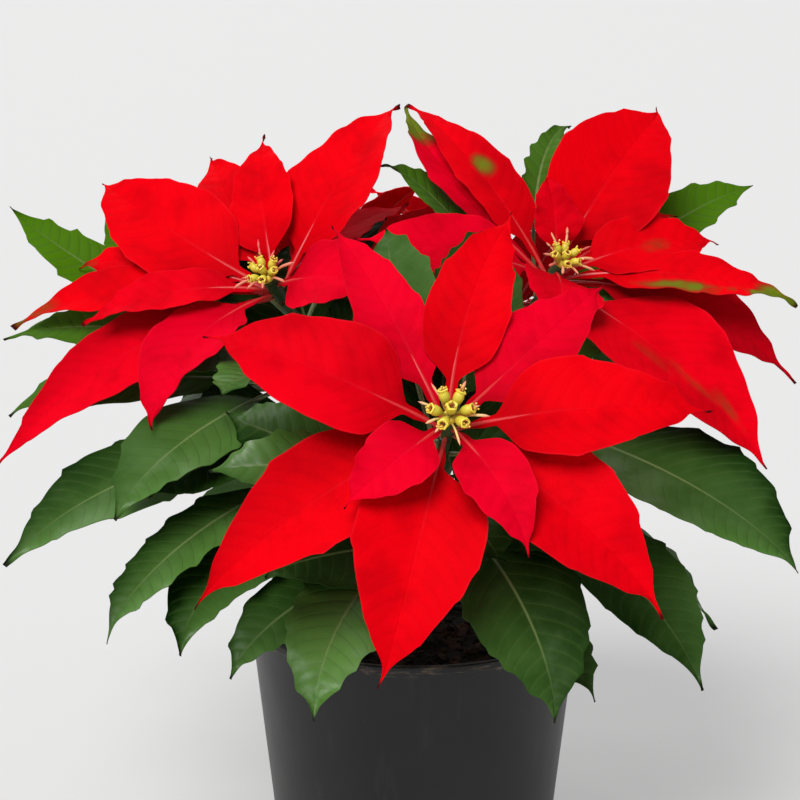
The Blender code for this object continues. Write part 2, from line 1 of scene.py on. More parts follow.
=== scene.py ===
# %% [markdown]
# # A poinsettia in its pot
#
# The coloured "petals" of a poinsettia are leaves, called bracts. They stand in a whorl round a
# cluster of tiny true flowers, the yellow-green cups. Below them the same plant grows plain
# green leaves, on stems that branch from one woody stem.
#
# The solid model of this plant is plain: each bract and leaf is a coarse sheet. This lesson
# lays a fine blade over each of them, with its veins, teeth and waves, and then makes the cups,
# the soil and the pot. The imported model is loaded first, and it is never moved or changed.

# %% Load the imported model
import math
import random

import bmesh
import bpy
from mathutils import Matrix, Vector, noise
from mathutils.bvhtree import BVHTree


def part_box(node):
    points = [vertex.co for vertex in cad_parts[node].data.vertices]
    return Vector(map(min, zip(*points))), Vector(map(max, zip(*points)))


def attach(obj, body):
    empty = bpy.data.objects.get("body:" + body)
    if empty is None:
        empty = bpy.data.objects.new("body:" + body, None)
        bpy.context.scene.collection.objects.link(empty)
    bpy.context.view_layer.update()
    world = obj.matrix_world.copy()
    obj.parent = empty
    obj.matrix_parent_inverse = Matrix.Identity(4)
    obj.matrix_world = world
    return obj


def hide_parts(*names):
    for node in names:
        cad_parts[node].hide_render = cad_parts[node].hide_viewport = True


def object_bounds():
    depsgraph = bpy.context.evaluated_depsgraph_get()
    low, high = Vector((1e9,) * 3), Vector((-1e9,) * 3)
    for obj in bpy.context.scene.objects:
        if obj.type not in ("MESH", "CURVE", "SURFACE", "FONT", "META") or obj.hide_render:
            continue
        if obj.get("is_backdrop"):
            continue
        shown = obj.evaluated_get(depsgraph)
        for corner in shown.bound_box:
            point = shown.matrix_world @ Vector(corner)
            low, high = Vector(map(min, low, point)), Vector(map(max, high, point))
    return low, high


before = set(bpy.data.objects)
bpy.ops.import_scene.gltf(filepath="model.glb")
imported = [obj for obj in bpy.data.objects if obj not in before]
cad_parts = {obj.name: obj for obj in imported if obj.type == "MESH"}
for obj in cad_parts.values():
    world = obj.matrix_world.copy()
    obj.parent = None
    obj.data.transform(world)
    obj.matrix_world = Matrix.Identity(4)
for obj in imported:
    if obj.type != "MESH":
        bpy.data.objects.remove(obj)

MM = 0.001
UP = Vector((0, 0, 1))
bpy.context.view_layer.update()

# %% [markdown]
# ## The camera
#
# The photograph was taken from a little above the crown, with a long lens. The crown is laid
# out square to that sight line, so its directions are named first: right, over and near. The
# lens follows from the width of the picture at the plant's middle: 800 pixels of 0.485 mm.

# %% Look from where the photograph was taken
SIGHT_TILT = math.radians(14)
CROWN_MIDDLE = Vector((-7, 0, 232)) * MM
RIGHT = Vector((1, 0, 0))
OVER = Vector((0, math.sin(SIGHT_TILT), math.cos(SIGHT_TILT)))
NEAR = Vector((0, -math.cos(SIGHT_TILT), math.sin(SIGHT_TILT)))

SIGHT_DISTANCE = 1.35
PICTURE_WIDTH = 800 * 0.485 * MM
FILM_WIDTH = 36

scene = bpy.context.scene
lens = bpy.data.cameras.new("camera")
lens.sensor_width = FILM_WIDTH
lens.lens = FILM_WIDTH * SIGHT_DISTANCE / PICTURE_WIDTH
camera = bpy.data.objects.new("camera", lens)
camera.location = CROWN_MIDDLE + NEAR * SIGHT_DISTANCE
camera.rotation_euler = (-NEAR).to_track_quat("-Z", "Y").to_euler()
scene.collection.objects.link(camera)
scene.camera = camera
print(f"a lens of {lens.lens:.0f} mm, {SIGHT_DISTANCE} m away")

# %% [markdown]
# ## Light
#
# A red this strong loses its hue when a film-like view transform bends it, so the colours are
# shown as they are, with the Standard transform. The light is that of a studio: white all
# round, with a soft light from the upper left, and a weaker one from behind that shines
# through the leaves. Sun lamps light the whole floor evenly, and their wide angle keeps the
# shadows soft.

# %% Set the lights
scene.view_settings.view_transform = "Standard"

# The air that lights the plant is dimmer than the backdrop that is seen behind it.
AIR_COLOUR = (0.94, 0.945, 0.96, 1)
AIR_GLOW = 0.34
AIR_SEEN = 0.82

air = bpy.data.worlds.new("studio")
air.use_nodes = True
sky = air.node_tree.nodes["Background"].inputs
sky["Color"].default_value = AIR_COLOUR
ray = air.node_tree.nodes.new("ShaderNodeLightPath").outputs["Is Camera Ray"]
seen = air.node_tree.nodes.new("ShaderNodeMapRange")
seen.inputs["To Min"].default_value = AIR_GLOW
seen.inputs["To Max"].default_value = AIR_SEEN
air.node_tree.links.new(ray, seen.inputs["Value"])
air.node_tree.links.new(seen.outputs["Result"], sky["Strength"])
scene.world = air

# Each lamp: the direction it shines from, its strength, its angle in degrees and its colour.
LAMPS = {
    "window": ((-0.40, -0.85, 1.1), 3.05, 34, (1.0, 0.99, 0.975)),
    "behind": ((-0.3, 1.0, 0.9), 0.7, 50, (1.0, 1.0, 0.97)),
}
for name, (place, strength, angle, colour) in LAMPS.items():
    lamp = bpy.data.lights.new(name, "SUN")
    lamp.angle = math.radians(angle)
    lamp.energy = strength
    lamp.color = colour
    stand = bpy.data.objects.new(name, lamp)
    stand.location = place
    stand.rotation_euler = Vector(place).to_track_quat("Z", "Y").to_euler()
    scene.collection.objects.link(stand)
print("lamps:", ", ".join(LAMPS))

# %% [markdown]
# ## Writing a finish
#
# A finish is a small network of nodes, and most of it is arithmetic. One class wraps a node's
# output, so that arithmetic on it adds the Math nodes by itself: 1 - mask, or veins * 0.4.
# Every other node comes from one method, which takes the node's type, its settings and the
# values or links of its sockets.


# %% A wrapper for node outputs
class Wire:
    """The output of a node. Arithmetic on it adds Math nodes."""

    def __init__(self, finish, output):
        self.finish, self.output = finish, output

    def sum(self, operation, *others):
        """Adds one Math node."""
        values = dict(enumerate((self, *others)))
        return self.finish.node("ShaderNodeMath", {"operation": operation}, values)["Value"]

    def __add__(self, other):
        return self.sum("ADD", other)

    def __sub__(self, other):
        return self.sum("SUBTRACT", other)

    def __rsub__(self, other):
        return self.sum("MULTIPLY_ADD", -1, other)

    def __mul__(self, other):
        return self.sum("MULTIPLY", other)

    def __abs__(self):
        return self.sum("ABSOLUTE")

    __radd__ = __add__
    __rmul__ = __mul__

    def ramp(self, low, high):
        """0 below low and 1 above high, with a soft step between. It falls if high is lower."""
        settings = {"interpolation_type": "SMOOTHSTEP"}
        start, end = (low, high) if low < high else (high, low)
        values = {"Value": self, "From Min": start, "From Max": end}
        if low > high:
            values["To Min"], values["To Max"] = 1, 0
        return self.finish.node("ShaderNodeMapRange", settings, values)["Result"]


class Made:
    """A node that was added: made["Fac"] is its output of that name."""

    def __init__(self, finish, node):
        self.finish, self.made = finish, node

    def __getitem__(self, name):
        return Wire(self.finish, self.made.outputs[name])


# %% A finish and the one method that adds nodes
class Finish:
    """A material that is written as expressions."""

    def __init__(self, name):
        self.material = bpy.data.materials.new(name)
        self.material.use_nodes = True
        self.tree = self.material.node_tree
        self.tree.nodes.clear()

    def node(self, kind, settings, values):
        """Adds a node. Its settings are set first, then the values or links of its sockets."""
        made = self.tree.nodes.new(kind)
        for name, value in settings.items():
            if name == "stops":
                self.set_stops(made.color_ramp, value)
            else:
                setattr(made, name, value)
        for name, value in values.items():
            socket = made.inputs[name]
            if isinstance(value, Wire):
                self.tree.links.new(value.output, socket)
            elif socket.type == "RGBA" and len(value) == 3:
                socket.default_value = (*value, 1)
            else:
                socket.default_value = value
        return Made(self, made)

    def set_stops(self, ramp, stops):
        """The stops of a colour ramp, each a place from 0 to 1 and a colour."""
        while len(ramp.elements) < len(stops):
            ramp.elements.new(0.5)
        for element, (place, colour) in zip(ramp.elements, stops):
            element.position = place
            element.color = (*colour, 1)

    def read(self, name):
        """A number that the mesh carries at each of its points."""
        return self.node("ShaderNodeAttribute", {"attribute_name": name}, {})["Fac"]

    def blend(self, share, first, second):
        """From the first colour to the second, by share. The colours are on sockets 6 and 7."""
        values = {0: share, 6: first, 7: second}
        return self.node("ShaderNodeMix", {"data_type": "RGBA"}, values)[2]

    def layers(self, colour, *layers):
        """Lays more colours over the first, in order. Each layer is (share, colour)."""
        for share, over in layers:
            colour = self.blend(share, colour, over)
        return colour

    def place(self):
        """The place on the piece, in metres."""
        return self.node("ShaderNodeTexCoord", {}, {})["Object"]

    def stretched(self, where, scale):
        """The same places, stretched along each axis."""
        return self.node("ShaderNodeMapping", {}, {"Vector": where, "Scale": scale})["Vector"]

    def grains(self, where, scale, detail=3.0, roughness=0.55):
        """Noise from 0 to 1, with about that many grains to the metre."""
        values = {"Vector": where, "Scale": scale, "Detail": detail, "Roughness": roughness}
        return self.node("ShaderNodeTexNoise", {}, values)["Fac"]

    def relief(self, height, depth, strength=1.0):
        """Bumps the surface: where the height is 1 it stands depth metres above 0."""
        values = {"Height": height, "Distance": depth, "Strength": strength}
        return self.node("ShaderNodeBump", {}, values)["Normal"]

    def surface(self, **values):
        """The Principled shader. A keyword's underscores stand for spaces."""
        named = {name.replace("_", " "): value for name, value in values.items()}
        return self.node("ShaderNodeBsdfPrincipled", {}, named)["BSDF"]

    def done(self, shader):
        """Closes the network with its output, and gives the material."""
        self.node("ShaderNodeOutputMaterial", {}, {"Surface": shader})
        print("finish", self.material.name, "has", len(self.tree.nodes), "nodes")
        return self.material


# %% [markdown]
# ## The floor
#
# The plant stands on a plain pale floor, which glows a little, as a lit studio table does, so
# that the shadow stays faint. It is wide enough to fill the picture, and it is marked as
# stage, so that it isn't counted as a piece of the plant.

# %% Turn a bmesh into an object
def new_object(bm, name, *finishes):
    """Moves what bm holds into a new mesh, and puts that in the scene as an object."""
    mesh = bpy.data.meshes.new(name)
    bm.to_mesh(mesh)
    bm.free()
    for finish in finishes:
        mesh.materials.append(finish)
    made = bpy.data.objects.new(name, mesh)
    scene.collection.objects.link(made)
    return made


# %% Lay the floor
FLOOR_HALF = 12

floor_finish = Finish("pale_floor")
pale = floor_finish.surface(
    Base_Color=(0.42, 0.42, 0.423),
    Roughness=0.8,
    Emission_Color=(1.0, 1.0, 1.0),
    Emission_Strength=0.30,
)
bm = bmesh.new()
bmesh.ops.create_grid(bm, x_segments=1, y_segments=1, size=FLOOR_HALF)
floor = new_object(bm, "floor", floor_finish.done(pale))
floor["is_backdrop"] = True

# %% [markdown]
# ## Where each bract and leaf is
#
# The blades are placed once, by one plan: a bloom's centre, the way it faces, and the tip,
# width and bow of each blade. The solid model was made from this plan, so the fine blades
# follow the same plan, step for step, and each lies along its solid one. Places in the crown
# are (right, up, near) in millimetres from its middle.

# %% The sizes that the plan uses
GOLDEN_TURN = math.radians(137.5)
SEAT_GAP = 0.3 * MM
POT_HEIGHT = 124 * MM
POT_RIM_RADIUS = 82 * MM

BLADE_STEPS = 8
BLADE_LANES = 2
STALK_HALF = 1.2 * MM
TIP_HALF = 0.6 * MM
CLEARANCE = 1.0 * MM
OWN_STEM_REACH = 22 * MM
LOWER_STEM_REACH = 9 * MM

STEM_RADII = (3.6 * MM, 2.7 * MM)
STEM_POINTS = 12
STEM_BENDS = (0.30, 0.34)
HUB_LENGTH = 16 * MM
HUB_RADIUS = 3.6 * MM
DOME_HEIGHT = 3.2 * MM
CUPS = 7
CUP_RADIUS = 2.7 * MM
CUP_RING = 7.0 * MM
CUP_RISE = 8.0 * MM
RING_SPOTS = 12

# For each kind of blade: the share of it that is stalk, how high it arches for its length,
# and how sharply it is drawn out to its tip.
KINDS = {"bract": (0.13, 0.14, 1.5), "leaf": (0.26, 0.15, 1.35)}

# Where the two bends of a midrib are, how much lower the second one is, how far a bow swings
# them, how round a blade is near its stalk, the share of it over which its fold fades in, and
# how fast the wave of its margin turns along it.
BENDS = (0.30, 0.74)
SECOND_RISE = 0.9
BOW_SWING = 1.4
ROUNDNESS = 0.8
EASE_SHARE = 0.25
WAVE_TURN = 5.2 * math.pi

# A blade that isn't clear tries up to this many steps along its push and to the side, and then
# is made shorter by these shares. Two blades of one stem are compared from OUTER_START on, for
# nearer their roots they always touch.
PUSH_STEPS = 6
SIDE_STEPS = 3
TRY_STRIDE = 5 * MM
TRY_SHARES = (1.0, 0.88, 0.76, 0.62)
OUTER_START = 0.30

# %% The blooms: centre, compass direction, steepness, and height of the stem's foot
BLOOMS = {
    "front": ((22, -8, 115), -84, 42, 136),
    "left": ((-64, 59, -5), 232, 48, 158),
    "right": ((79, 67, -20), -55, 50, 142),
    "back_left": ((-42, 56, -112), 118, 48, 144),
    "back_right": ((62, 54, -118), 58, 48, 158),
}

# %% The bracts that face the front: tip, width and bow
BRACTS = {
    "front": [
        (-8, -126, 140, 58, 0),
        (116, -95, 130, 54, -3),
        (-92, -92, 125, 50, 4),
        (139, -5, 108, 48, 0),
        (-88, 30, 95, 54, -2),
        (-32, 82, 70, 31, 0),
        (54, 86, 68, 38, -7),
        (94, 54, 78, 38, 2),
        (56, -68, 142, 32, -3),
        (-25, -47, 138, 32, 0),
    ],
    "left": [
        (-197, -34, -12, 50, 5),
        (-118, -15, 40, 46, 9),
        (-2, 149, -48, 54, 5),
        (-152, 112, -72, 52, -6),
        (-70, 134, -58, 36, 0),
        (-194, 36, -38, 29, 4),
        (-98, 125, -86, 42, 0),
        (-164, 68, -56, 34, 2),
        (-7, 55, 30, 42, 0),
        (-155, 36, -14, 26, 3),
        (6, 99, -66, 36, 0),
    ],
    "right": [
        (176, -33, 20, 72, 3),
        (196, 7, -25, 46, -9),
        (4, 152, -75, 36, -3),
        (137, 149, -90, 60, -4),
        (-23, 78, 6, 46, -4),
        (160, 79, -56, 34, 0),
        (197, 47, -34, 28, -3),
        (74, 32, 32, 42, 0),
        (141, 96, -96, 40, 0),
        (72, 112, -34, 26, 0),
        (3, 152, -92, 26, -20),
    ],
    "back_left": [
        (14, 113, -84, 36, 0),
    ],
}

# %% The leaves that face the front: tip, width, bow and place on the stem
LEAVES = {
    "front": [
        (-38, -143, 112, 44, 10, 0.40),
        (69, -143, 118, 54, -8, 0.62),
        (-87, -32, 92, 30, 0, 0.74),
        (90, -137, 84, 32, -4, 0.28),
        (-79, -128, 72, 34, 8, 0.24),
        (-6, 82, 5, 42, 0, 0.82),
        (40, 84, -10, 48, 0, 0.72),
        (-62, -80, 80, 40, 0, 0.34),
        (104, -64, 84, 40, 0, 0.58),
        (-82, -8, 44, 40, 0, 0.56),
        (20, 42, 36, 78, 0, 0.66),
    ],
    "left": [
        (-184, -78, 50, 46, 8, 0.46),
        (-132, -55, 85, 48, 4, 0.66),
        (-136, -111, 78, 42, 8, 0.36),
        (-102, -118, 70, 48, 13, 0.22),
        (-194, -6, 0, 34, 4, 0.60),
        (-198, 31, -16, 24, 0, 0.74),
        (-84, 2, 60, 30, 0, 0.70),
        (-16, 48, 14, 36, 0, 0.56),
        (-104, -12, 34, 44, 0, 0.48),
        (-112, 16, 20, 40, 0, 0.80),
        (-8, 94, -40, 34, 0, 0.84),
        (-116, -46, 56, 44, 0, 0.50),
        (-58, 80, -50, 56, 0, 0.50),
    ],
    "right": [
        (185, -80, 60, 62, -3, 0.54),
        (139, -134, 66, 50, -8, 0.34),
        (90, 145, -112, 20, -13, 0.92),
        (-9, 118, -36, 28, 4, 0.84),
        (104, 60, -10, 42, 0, 0.66),
    ],
    "back_left": [
        (-201, 99, -70, 36, -13, 0.62),
        (-156, 99, -112, 36, -15, 0.80),
        (-84, -28, 6, 44, 0, 0.40),
        (-98, 60, -40, 44, 0, 0.80),
    ],
    "back_right": [
        (186, 112, -104, 44, -3, 0.82),
    ],
}

# %% The blades at the back and the sides follow the plant's own spiral
SPIRAL_BRACTS = 11
SPIRAL_REACH = (108 * MM, 52 * MM)
SPIRAL_RISE = (math.radians(-10), math.radians(28))
SPIRAL_LEAVES = {"left": 3, "right": 3, "back_left": 6, "back_right": 6}
LEAF_REACH = (105 * MM, 150 * MM)

# By how much one blade of a spiral differs from the next: how far it is turned off the spiral,
# its share of the reach, and its width and bow as shares of its length.
TURN_OFF = (-0.12, 0.12)
REACH_SHARE = (0.92, 1.06)
BRACT_WIDTH, BRACT_BOW = (0.40, 0.46), (-0.08, 0.08)
LEAF_WIDTH, LEAF_BOW = (0.34, 0.42), (-0.06, 0.06)

# The leaves of a spiral sit between these shares of their stem, spread over a fan of so many
# degrees, and droop by these angles. Low ones are longer and droop more.
LEAF_SPAN = (0.30, 0.88)
LEAF_FAN, SHORT_FAN = 200, 42
LEAF_TURN_OFF = (-8, 8)
LEAF_DROOP = (0.15, 0.75)
REACH_BY_HEIGHT, DROOP_BY_HEIGHT = (1.05, 0.85), (1.1, 0.3)

SIDE_AZIMUTHS = {"left": 150, "right": 30}
BACK_PUSH_STEPS = 8
FRONT_FACING = 0.6


# %% Directions and places in the crown
def crown_place(right, up, near):
    """A place in the crown, from its (right, up, near) in millimetres."""
    return CROWN_MIDDLE + (RIGHT * right + OVER * up + NEAR * near) * MM


def compass(azimuth, steepness):
    """The unit vector at that compass direction and steepness, in degrees."""
    a, s = math.radians(azimuth), math.radians(steepness)
    return Vector((math.cos(a) * math.cos(s), math.sin(a) * math.cos(s), math.sin(s)))


def ring_direction(axis, turn):
    """The unit vector square to the axis, at that turn round it."""
    side = axis.cross(UP).normalized()
    return side * math.cos(turn) + side.cross(axis) * math.sin(turn)


def bloom_place(name):
    """The way that a bloom faces, and its middle."""
    place, azimuth, steepness, _ = BLOOMS[name]
    return compass(azimuth, steepness), crown_place(*place)


def mix(a, b, share):
    return a + (b - a) * share


def bezier(p0, p1, p2, p3, s):
    r = 1 - s
    return p0 * r**3 + p1 * (3 * r * r * s) + p2 * (3 * r * s * s) + p3 * s**3


def bezier_slope(p0, p1, p2, p3, s):
    r = 1 - s
    return (p1 - p0) * (3 * r * r) + (p2 - p1) * (6 * r * s) + (p3 - p2) * (3 * s * s)


# %% [markdown]
# A blade is a narrow stalk and a pointed blade on an arched midrib. Its outline, its fold
# along the midrib and the wave of its margin are all functions of two numbers: s along
# the blade, from 0 to 1, and t across it, from -1 to 1.

# %% One blade
class Blade:
    """One bract or leaf: a stalk, then a pointed blade, along an arched midrib."""

    def __init__(self, kind, root, tip, face, width, bow, chance):
        self.root, self.tip, self.face = root, tip, face.normalized()
        self.width, self.bow = width, bow
        self.stalk, self.lift, self.taper = KINDS[kind]
        self.fold = chance.uniform(0.08, 0.26)
        self.wave = chance.uniform(0.5, 1.6) * MM
        self.phase = chance.uniform(0, 2 * math.pi)

    def controls(self):
        """The four points that steer the midrib."""
        span = self.tip - self.root
        rise = self.face * (self.lift * span.length)
        sway = span.normalized().cross(self.face).normalized() * (self.bow * BOW_SWING)
        return (
            self.root,
            self.root + span * BENDS[0] + rise + sway,
            self.root + span * BENDS[1] + rise * SECOND_RISE + sway,
            self.tip,
        )

    def frame(self, s):
        """The middle, the sideways direction and the upward one at s."""
        controls = self.controls()
        along = bezier_slope(*controls, s).normalized()
        side = along.cross(self.face).normalized()
        return bezier(*controls, s), side, side.cross(along)

    def gone(self, s):
        """How far s is up the blade proper, from 0 where its stalk ends to 1 at its tip."""
        return max(0.0, (s - self.stalk) / (1 - self.stalk))

    def half_width(self, s):
        """Narrow along the stalk, widest a third of the way up the blade, drawn to a point."""
        u = self.gone(s)
        widest = ROUNDNESS / (ROUNDNESS + self.taper)
        shape = u**ROUNDNESS * (1 - u) ** self.taper
        shape /= widest**ROUNDNESS * (1 - widest) ** self.taper
        return max(mix(STALK_HALF, TIP_HALF, u), self.width / 2 * shape)

    def point(self, s, t, off=0.0):
        """The point s along the midrib and t across, from -1 to 1, off above the middle."""
        middle, side, normal = self.frame(s)
        half, ease = self.half_width(s), min(1.0, self.gone(s) / EASE_SHARE)
        height = ease * half * self.fold * abs(t)
        height += ease * self.wave * t * t * math.sin(WAVE_TURN * s + self.phase + t)
        return middle + side * (half * t) + normal * (height + off)


# %% Trees that tell whether two blades touch
def two_sheets(blade, off, beyond=0.0):
    """A tree of two sheets, off below and above the blade, without what is near its root."""
    bm = bmesh.new()
    for side in (-off, off):
        grid = bmesh.ops.create_grid(bm, x_segments=BLADE_STEPS, y_segments=BLADE_LANES, size=1)
        for vert in grid["verts"]:
            vert.co = blade.point((vert.co.x + 1) / 2, vert.co.y, side)
    near_root = [v for v in bm.verts if (v.co - blade.root).length < beyond]
    bmesh.ops.delete(bm, geom=near_root, context="VERTS")
    corners = [v.co.copy() for v in bm.verts]
    tree = BVHTree.FromBMesh(bm)
    bm.free()
    return tree, corners


def blade_tree(blade):
    """The sheets of the whole blade at full clearance, with their box."""
    tree, corners = two_sheets(blade, CLEARANCE)
    low = Vector([min(c[k] for c in corners) for k in range(3)])
    high = Vector([max(c[k] for c in corners) for k in range(3)])
    return tree, low, high, corners


def outer_tree(blade):
    """The sheets of the part that is well clear of its own stem, closer together."""
    start = blade.point(OUTER_START, 0)
    return two_sheets(blade, CLEARANCE / 2, (start - blade.root).length)[0]


# %% [markdown]
# Two blades of one plant never cut through each other. As the plan is laid, each blade is
# tested against the ones before it, and moved a little until it is clear. The same tests
# in the same order give the same places as in the solid model.

# %% Keep each blade clear of the others
class Crown:
    """Keeps what is placed, and moves each new blade a little until it is clear."""

    def __init__(self):
        self.placed, self.stems, self.blades = [], {}, {}

    def add_stem(self, name, points):
        shares = [k / (4 * STEM_POINTS) for k in range(4 * STEM_POINTS + 1)]
        self.stems[name] = [(along_path(points, s), mix(*STEM_RADII, s)) for s in shares]

    def add_flowers(self, name, middle, axis):
        spots = [middle + axis * CUP_RISE]
        for k in range(RING_SPOTS):
            turn = 2 * math.pi * k / RING_SPOTS
            spots.append(spots[0] + ring_direction(axis, turn) * CUP_RING)
        self.stems[name] = [(spot, CUP_RADIUS) for spot in spots]

    def blocked(self, name, blade):
        """Whether it touches the pot, a stem, a flower or a blade of another node."""
        tree, low, high, corners = blade_tree(blade)
        rim = POT_RIM_RADIUS + 2 * CLEARANCE
        if any(c.z < POT_HEIGHT + CLEARANCE and c.xy.length < rim for c in corners):
            return True
        for other, points in self.stems.items():
            own = 0.0
            if other == name:
                own = OWN_STEM_REACH
            elif other == name.replace("bracts", "leafy_stem"):
                own = LOWER_STEM_REACH
            for point, radius in points:
                away = radius + CLEARANCE
                if any(not low[k] - away < point[k] < high[k] + away for k in range(3)):
                    continue
                if (point - blade.root).length < own:
                    continue
                if tree.find_nearest(point, away)[0] is not None:
                    return True
        for other, other_tree, _, other_low, other_high in self.placed:
            apart = any(low[k] > other_high[k] or high[k] < other_low[k] for k in range(3))
            if other != name and not apart and tree.overlap(other_tree):
                return True
        return False

    def crossings(self, name, blade):
        """How many blades of its own stem or bloom it crosses, away from their roots."""
        outer = outer_tree(blade)
        return sum(
            1 for other, _, other_outer, _, _ in self.placed
            if other == name and outer.overlap(other_outer)
        )

    def settle(self, name, blade, push, reach=PUSH_STEPS):
        """Tries the blade as drawn, then a little along push and to the side, then shorter.

        It keeps the blade where it is clear. Where it never is, the blade is left out."""
        wanted = blade.tip.copy()
        side = (wanted - blade.root).cross(push).normalized()
        aside = range(-SIDE_STEPS, SIDE_STEPS + 1)
        tries = sorted(
            ((a, b) for a in range(-reach, reach + 1) for b in aside),
            key=lambda ab: (abs(ab[0]) + 2 * abs(ab[1]), ab),
        )
        best = None
        for share in TRY_SHARES:
            for a, b in tries:
                moved = wanted + push * (a * TRY_STRIDE) + side * (b * TRY_STRIDE)
                blade.tip = blade.root + (moved - blade.root) * share
                if self.blocked(name, blade):
                    continue
                count = self.crossings(name, blade)
                if best is None or count < best[0]:
                    best = (count, blade.tip.copy())
                if count == 0:
                    break
            if best is not None:
                break
        if best is None:
            return False
        blade.tip = best[1]
        tree, low, high, _ = blade_tree(blade)
        self.placed.append((name, tree, outer_tree(blade), low, high))
        self.blades.setdefault(name, []).append(blade)
        return True


# %% Stems, bracts and leaves
# How far below the middle of its bloom a bract has its root: the first where its tip is as near
# as SHORT_MM, and the second where it is SPREAD_MM farther. ROOT_OUT_MM is how far out it is.
BRACT_DROP = (5 * MM, 14 * MM)
SHORT_MM, SPREAD_MM = 60, 70
ROOT_OUT_MM = 1.2

# How far outward and up a stem sets off, and how far up and outward a leaf faces.
STEM_SETS_OFF = (0.8, 0.6)
LEAF_FACES = (0.6, 0.5)


def stem_path(name):
    """The middle line of a leafy stem, from the main stem to below its bloom."""
    axis, middle = bloom_place(name)
    head = middle - axis * (HUB_LENGTH + SEAT_GAP)
    foot = Vector((0, 0, BLOOMS[name][3] * MM))
    outward = Vector((head.x, head.y, 0)).normalized()
    span = (head - foot).length
    start = outward * STEM_SETS_OFF[0] + UP * STEM_SETS_OFF[1]
    first = foot + start * span * STEM_BENDS[0]
    second = head - axis * span * STEM_BENDS[1]
    shares = [k / (STEM_POINTS - 1) for k in range(STEM_POINTS)]
    return [bezier(foot, first, second, head, s) for s in shares]


def along_path(points, share):
    """The place at that share of a line of points."""
    whole = share * (len(points) - 1)
    k = min(int(whole), len(points) - 2)
    return points[k].lerp(points[k + 1], whole - k)


def bract(name, tip, width, bow, chance):
    """A bract grows from the side of the hub: the longer it is, the lower down."""
    axis, middle = bloom_place(name)
    out = tip - middle
    out = (out - axis * out.dot(axis)).normalized()
    farther = ((tip - middle).length / MM - SHORT_MM) / SPREAD_MM
    drop = mix(*BRACT_DROP, min(1.0, max(0.0, farther)))
    root = middle - axis * drop + out * ROOT_OUT_MM * MM
    return Blade("bract", root, tip, axis, width, bow, chance)


def leaf(points, share, tip, width, bow, towards, chance):
    """A leaf that faces up, outward, and by that much towards the front."""
    root = along_path(points, share)
    out = Vector((tip.x, tip.y, 0)).normalized()
    face = UP * LEAF_FACES[0] + out * LEAF_FACES[1] + NEAR * towards
    return Blade("leaf", root, tip, face, width, bow, chance)


# %% Lay the whole crown
def spiral_bracts(crown, name):
    """A whorl of bracts that turns by the golden angle, and gets shorter and steeper."""
    chance = random.Random("bracts " + name)
    axis, middle = bloom_place(name)
    for k in range(SPIRAL_BRACTS):
        share = k / (SPIRAL_BRACTS - 1)
        turn = k * GOLDEN_TURN + chance.uniform(*TURN_OFF)
        rise = mix(*SPIRAL_RISE, share)
        reach = mix(*SPIRAL_REACH, share) * chance.uniform(*REACH_SHARE)
        out = ring_direction(axis, turn)
        tip = middle + out * (reach * math.cos(rise)) + axis * (reach * math.sin(rise))
        width, bow = reach * chance.uniform(*BRACT_WIDTH), reach * chance.uniform(*BRACT_BOW)
        crown.settle("bracts_" + name, bract(name, tip, width, bow, chance), axis)


def spiral_leaves(crown, points, name, count):
    """Leaves on the side of the stem that looks away from the plant's middle and the front."""
    chance = random.Random("more leaves " + name)
    away = SIDE_AZIMUTHS.get(name, BLOOMS[name][1])
    for k in range(count):
        share = mix(*LEAF_SPAN, (k + 0.5) / count)
        fan = (k - 1) * SHORT_FAN
        if count > 3:
            fan = (k * math.degrees(GOLDEN_TURN)) % LEAF_FAN - LEAF_FAN / 2
        out = compass(away + fan + chance.uniform(*LEAF_TURN_OFF), 0)
        reach = chance.uniform(*LEAF_REACH) * mix(*REACH_BY_HEIGHT, share)
        root = along_path(points, share)
        droop = chance.uniform(*LEAF_DROOP) * mix(*DROOP_BY_HEIGHT, share)
        tip = root + out * (reach * math.cos(droop)) - UP * (reach * math.sin(droop))
        width, bow = reach * chance.uniform(*LEAF_WIDTH), reach * chance.uniform(*LEAF_BOW)
        blade = leaf(points, share, tip, width, bow, 0.0, chance)
        crown.settle("leafy_stem_" + name, blade, UP, BACK_PUSH_STEPS)


def drawn_leaf(crown, points, name, row, chance):
    """A leaf from its row in the table. True if it found a clear place."""
    *place, width, bow, share = row
    tip = crown_place(*place)
    blade = leaf(points, share, tip, width * MM, bow * MM, FRONT_FACING, chance)
    return crown.settle("leafy_stem_" + name, blade, NEAR)


def plan_crown():
    """The crown, with its blades settled clear of each other, and the line of each stem."""
    crown, stems = Crown(), {}
    for name in BLOOMS:
        axis, middle = bloom_place(name)
        stems[name] = stem_path(name)
        crown.add_stem("leafy_stem_" + name, stems[name])
        crown.add_flowers("flowers_" + name, middle, axis)
    for name, rows in BRACTS.items():
        chance = random.Random("bracts " + name)
        for *place, width, bow in rows:
            blade = bract(name, crown_place(*place), width * MM, bow * MM, chance)
            crown.settle("bracts_" + name, blade, NEAR)
    for name, rows in LEAVES.items():
        chance = random.Random("leaves " + name)
        for row in rows:
            drawn_leaf(crown, stems[name], name, row, chance)
    for name in ("back_left", "back_right"):
        spiral_bracts(crown, name)
    for name, count in SPIRAL_LEAVES.items():
        spiral_leaves(crown, stems[name], name, count)
    return crown, stems


# %% Run the plan, and test it against the solid model
crown, stems = plan_crown()
blades = crown.blades
for node, laid in sorted(blades.items()):
    low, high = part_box(node)
    tips = [blade.tip for blade in laid]
    off = max(max(low[k] - tip[k], tip[k] - high[k]) for tip in tips for k in range(3))
    print(f"{node}: {len(laid)} blades, tips at most {max(off, 0) / MM:.1f} mm off its box")

